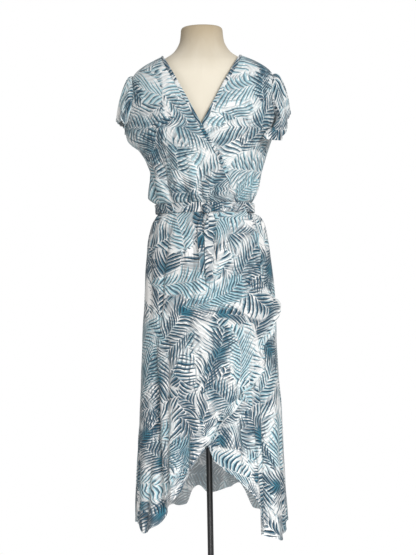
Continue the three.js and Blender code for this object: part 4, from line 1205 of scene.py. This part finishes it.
def beltBand():  # its creases are waves along it, set out one by one
    angle, v = spread(beltPiece["turns"], beltPiece["rows"], widest=360)
    z = waistSeam - beltWidth / 2 + beltWidth * v
    turn = np.radians(angle)
    crease = np.sin(turn * 17 + 3 * np.sin(turn * 2) + v * 2.2) * np.sin(v * math.pi)
    crease = crease + 0.7 * np.sin(v * 3 * math.pi + 0.8 * np.sin(turn * 5))
    belly = beltPiece["creaseDepth"] * crease
    point = np.stack((np.sin(turn), -np.cos(turn), np.zeros_like(turn)), -1)
    base = point * ringRadius(dress, angle, z)[..., None]
    base[..., 2] = z
    inner = base + point * (beltLayer + beltPiece["lift"])
    outer = base + point * (beltLayer + wall * beltPiece["thick"] + belly)[..., None]
    flat = flatPlaces(turn * beltPiece["radius"], z, beltPiece["shift"])
    return shellObject("tieBelt", inner, outer, flat, clothSides, ring=True)


belt = beltBand()
settle(belt, "print_cloth", "tie_belt")
print("stage 7: belt made")

# Knot and ends
knotPiece = dict(x=0.005, width=0.027, depth=0.013, height=0.025, below=0.004, turns=72, steps=44,
                 shift=(7.0, 1.1), clear=0.0005, core=0.55, flatRadius=0.012, grooveDepth=0.16,
                 grooveSlant=0.6, grooveWidth=0.13, pleatDepth=0.045, twistDepth=0.07)
endPiece = dict(rows=90, columns=14, slant=0.004, sway=0.0016, curl=0.0012, ripple=0.0009, pleat=0.0010,
                gatheredShare=0.62, clear=0.001)
endCuts = dict(
    long=dict(xTop=0.010, xBottom=0.009, width=0.020, low=0.862, high=1.035, layer=0.0083,
              shift=(11.2, 0.6), phase=2),
    short=dict(xTop=-0.006, xBottom=-0.010, width=0.015, low=0.891, high=1.042, layer=0.0062,
               shift=(12.3, 0.1), phase=0),
)


def knot():
    look = knotPiece
    middleZ = waistSeam - look["below"]
    front = clothPoint(frontAngle(look["x"], middleZ), middleZ, beltLayer + wall)[1]
    middleY = front - look["depth"] / 2 - look["clear"]
    lon, lat = np.meshgrid(
        np.linspace(0, 2 * math.pi, look["turns"] + 1), np.linspace(-0.5, 0.5, look["steps"] + 1) * math.pi
    )
    fromGroove = (np.sin(lat) - look["grooveSlant"] * np.cos(lon)) / look["grooveWidth"]
    groove = 1 - look["grooveDepth"] * np.exp(-(fromGroove ** 2))
    pleat = 1 + look["pleatDepth"] * np.sin(9 * lat + 5 * np.cos(lon))
    pleat = pleat + look["twistDepth"] * np.sin(3 * lon + 1) * np.cos(2 * lat)
    ring = np.cos(lat).clip(0.02) ** 0.8 * groove * pleat
    centre = np.array((look["x"], middleY, middleZ))
    offset = np.stack((look["width"] / 2 * ring * np.cos(lon), look["depth"] / 2 * ring * np.sin(lon),
                       look["height"] / 2 * np.sin(lat)), -1)
    flat = flatPlaces(lon * look["flatRadius"], lat * look["flatRadius"], look["shift"])
    inner = centre + offset * look["core"]
    return shellObject("tieKnot", inner, centre + offset, flat, denseSides, ring=True)


def tieEnd(name):  # gathered at the knot, a little curled and swaying lower down
    end = endCuts[name]
    u, v = spread(endPiece["columns"], endPiece["rows"])
    z = mix(end["low"], end["high"], v) + (1 - v) * endPiece["slant"] * (u - 0.5)
    width = mix(end["width"], end["width"] * endPiece["gatheredShare"], ease(0.75, 1, v))
    sway = endPiece["sway"] * np.sin(v * 7 + end["phase"]) * (1 - v)
    x = mix(end["xBottom"], end["xTop"], v) + width * (u - 0.5) + sway
    angle = frontAngle(x, z)
    curl = endPiece["curl"] * (2 * u - 1) ** 2 * ease(1, 0.6, v) + endPiece["ripple"] * np.sin(v * 16 + u * 2)
    pleat = endPiece["pleat"] * np.sin(u * 4 * math.pi) * ease(0.6, 1, v)
    layer = end["layer"] + curl + pleat + endPiece["clear"]
    return shellObject("tieEnd" + name.capitalize(), clothPoint(angle, z, layer),
                       clothPoint(angle, z, layer + wall), flatPlaces(x, z, end["shift"]), denseSides)


tieKnot = knot()
endLong = tieEnd("long")
endShort = tieEnd("short")
settle(tieKnot, "print_cloth", "tie_knot")
settle(endLong, "print_cloth", "tie_end_long")
settle(endShort, "print_cloth", "tie_end_short")

# Belt loop
loopPiece = dict(x=-0.077, width=0.0045, columns=6, rows=30, clear=0.0012, thin=0.0009, crown=0.0006,
                 halfFlat=0.003, shift=(14.2, 0))


def beltLoop():
    look = loopPiece
    middle = frontAngle(look["x"], waistSeam)
    halfTurn = np.degrees(look["width"] / 2 / ringRadius(dress, middle, waistSeam))
    u, v = spread(look["columns"], look["rows"], widest=2, tallest=2)
    u = u - 1
    v = v - 1
    z = waistSeam + beltWidth / 2 * v
    angle = middle + halfTurn * u
    lift = beltLayer + wall + layerGap + look["clear"]
    thickness = look["thin"] + look["crown"] * np.sqrt(np.clip(1 - u * u, 0, 1))
    return shellObject("beltLoop", clothPoint(angle, z, lift), clothPoint(angle, z, lift + thickness),
                       flatPlaces(u * look["halfFlat"], z, look["shift"]), clothSides)


loop = beltLoop()
settle(loop, "print_binding", "belt_loop")
print("stage 8: tie made")

# Form: a smooth covered torso on a painted pole and base. The edges are rounded by short steps, each
# with how far it lies inside the side line and how far below or above the straight part's end.
formPiece = dict(
    top=1.536, bottom=0.820, round=0.009, turns=128, rows=190, sharpDegrees=40, flatRadius=0.15,
    lowEdge=[(0.05, -0.007), (0.014, -0.007), (0.004, -0.0045)],
    topEdge=[(0.0012, 0.0034), (0.003, 0.0058), (0.006, 0.0076), (0.012, 0.0086), (0.025, 0.0089),
             (0.044, 0.009)],
)
standPiece = dict(poleRadius=0.008, poleLow=0.0103, poleHigh=0.8127, poleTurns=48, bevel=0.001,
                  flatRadius=0.1, baseRadius=0.165, baseThickness=0.010, baseTurns=128,
                  collarRadius=0.017, collarHeight=0.034, socketGap=0.00045)


def solidOfRings(name, rings, flat, material):
    rows = rings.shape[0] - 1
    columns = rings.shape[1] - 1
    r, c = gridCorners(rows, columns)
    middles = rings[[0, -1], :columns].mean(axis=1)
    points = np.concatenate((rings[:, :columns].reshape(-1, 3), middles))
    top = rows * columns
    faces = [tuple(face) for face in r * columns + c % columns]
    faces += [(len(points) - 2, (i + 1) % columns, i) for i in range(columns)]
    faces += [(len(points) - 1, top + i, top + (i + 1) % columns) for i in range(columns)]
    uvs = [tuple(map(tuple, flat[rr, cc])) for rr, cc in zip(r, c)]
    uvs += [(tuple(flat[0, i]), tuple(flat[0, i + 1]), tuple(flat[0, i])) for i in range(columns)]
    uvs += [(tuple(flat[-1, i]), tuple(flat[-1, i]), tuple(flat[-1, i + 1])) for i in range(columns)]
    mesh = bpy.data.meshes.new(name)
    mesh.from_pydata(points.tolist(), [], faces)
    layer = mesh.uv_layers.new(name="clothFlat")
    layer.data.foreach_set("uv", np.array([uv for face in uvs for uv in face], np.float32).ravel())
    return finished(name, mesh, [material], formPiece["sharpDegrees"])


def turned(name, radius, turn, height, flatRadius, material):
    rings = np.broadcast_arrays(radius * np.sin(turn), -radius * np.cos(turn), height)
    flat = np.broadcast_arrays(turn * flatRadius, height)
    return solidOfRings(name, np.stack(rings, -1), np.stack(flat, -1), material)


def formTorso():
    look = formPiece
    straight = np.linspace(look["bottom"], look["top"] - look["round"], look["rows"])
    rings = [(straight[0], inset, lift) for inset, lift in look["lowEdge"]]
    rings += [(height, 0, 0) for height in straight]
    rings += [(straight[-1], inset, lift) for inset, lift in look["topEdge"]]
    height, inset, lift = np.array(rings).T[..., None]
    angle = np.linspace(0, 360, look["turns"] + 1)[None, :]
    radius = ringRadius(form, angle, height) - inset
    return turned("formTorso", radius, np.radians(angle), height + lift, look["flatRadius"], linen)


def latheSolid(name, profile, turns, material):
    turn = np.linspace(0, 2 * math.pi, turns + 1)[None, :]
    radius, height = np.array(profile).T[..., None]
    return turned(name, radius, turn, height, standPiece["flatRadius"], material)


def standPole():
    look = standPiece
    radius = look["poleRadius"]
    low = look["poleLow"]
    high = look["poleHigh"]
    bevel = look["bevel"]
    profile = [
        (radius - bevel, low), (radius, low + bevel), (radius, high - bevel), (radius - bevel, high),
    ]
    return latheSolid("formPole", profile, look["poleTurns"], paint)


def standBase():
    look = standPiece
    rim = look["baseRadius"]
    thick = look["baseThickness"]
    collar = look["collarRadius"]
    top = look["collarHeight"]
    socket = look["poleRadius"] + look["socketGap"]
    profile = [
        (0.05, 0), (rim - 0.002, 0), (rim - 0.0006, 0.0006), (rim, 0.002), (rim, thick - 0.003),
        (rim - 0.0012, thick - 0.0012), (rim - 0.004, thick), (collar + 0.003, thick + 0.002),
        (collar + 0.001, thick + 0.0032), (collar, thick + 0.005), (collar, top - 0.002),
        (collar - 0.0006, top - 0.0006), (collar - 0.002, top), (socket, top), (socket, thick),
        (0.002, thick),
    ]
    return latheSolid("formBase", profile, look["baseTurns"], paint)


torso = formTorso()
settle(torso, "form_linen", "form_torso")
pole = standPole()
settle(pole, "stand_black", "form_pole")
base = standBase()
settle(base, "stand_black", "form_base")
print("stage 9: form and stand made")

bpy.context.view_layer.update()
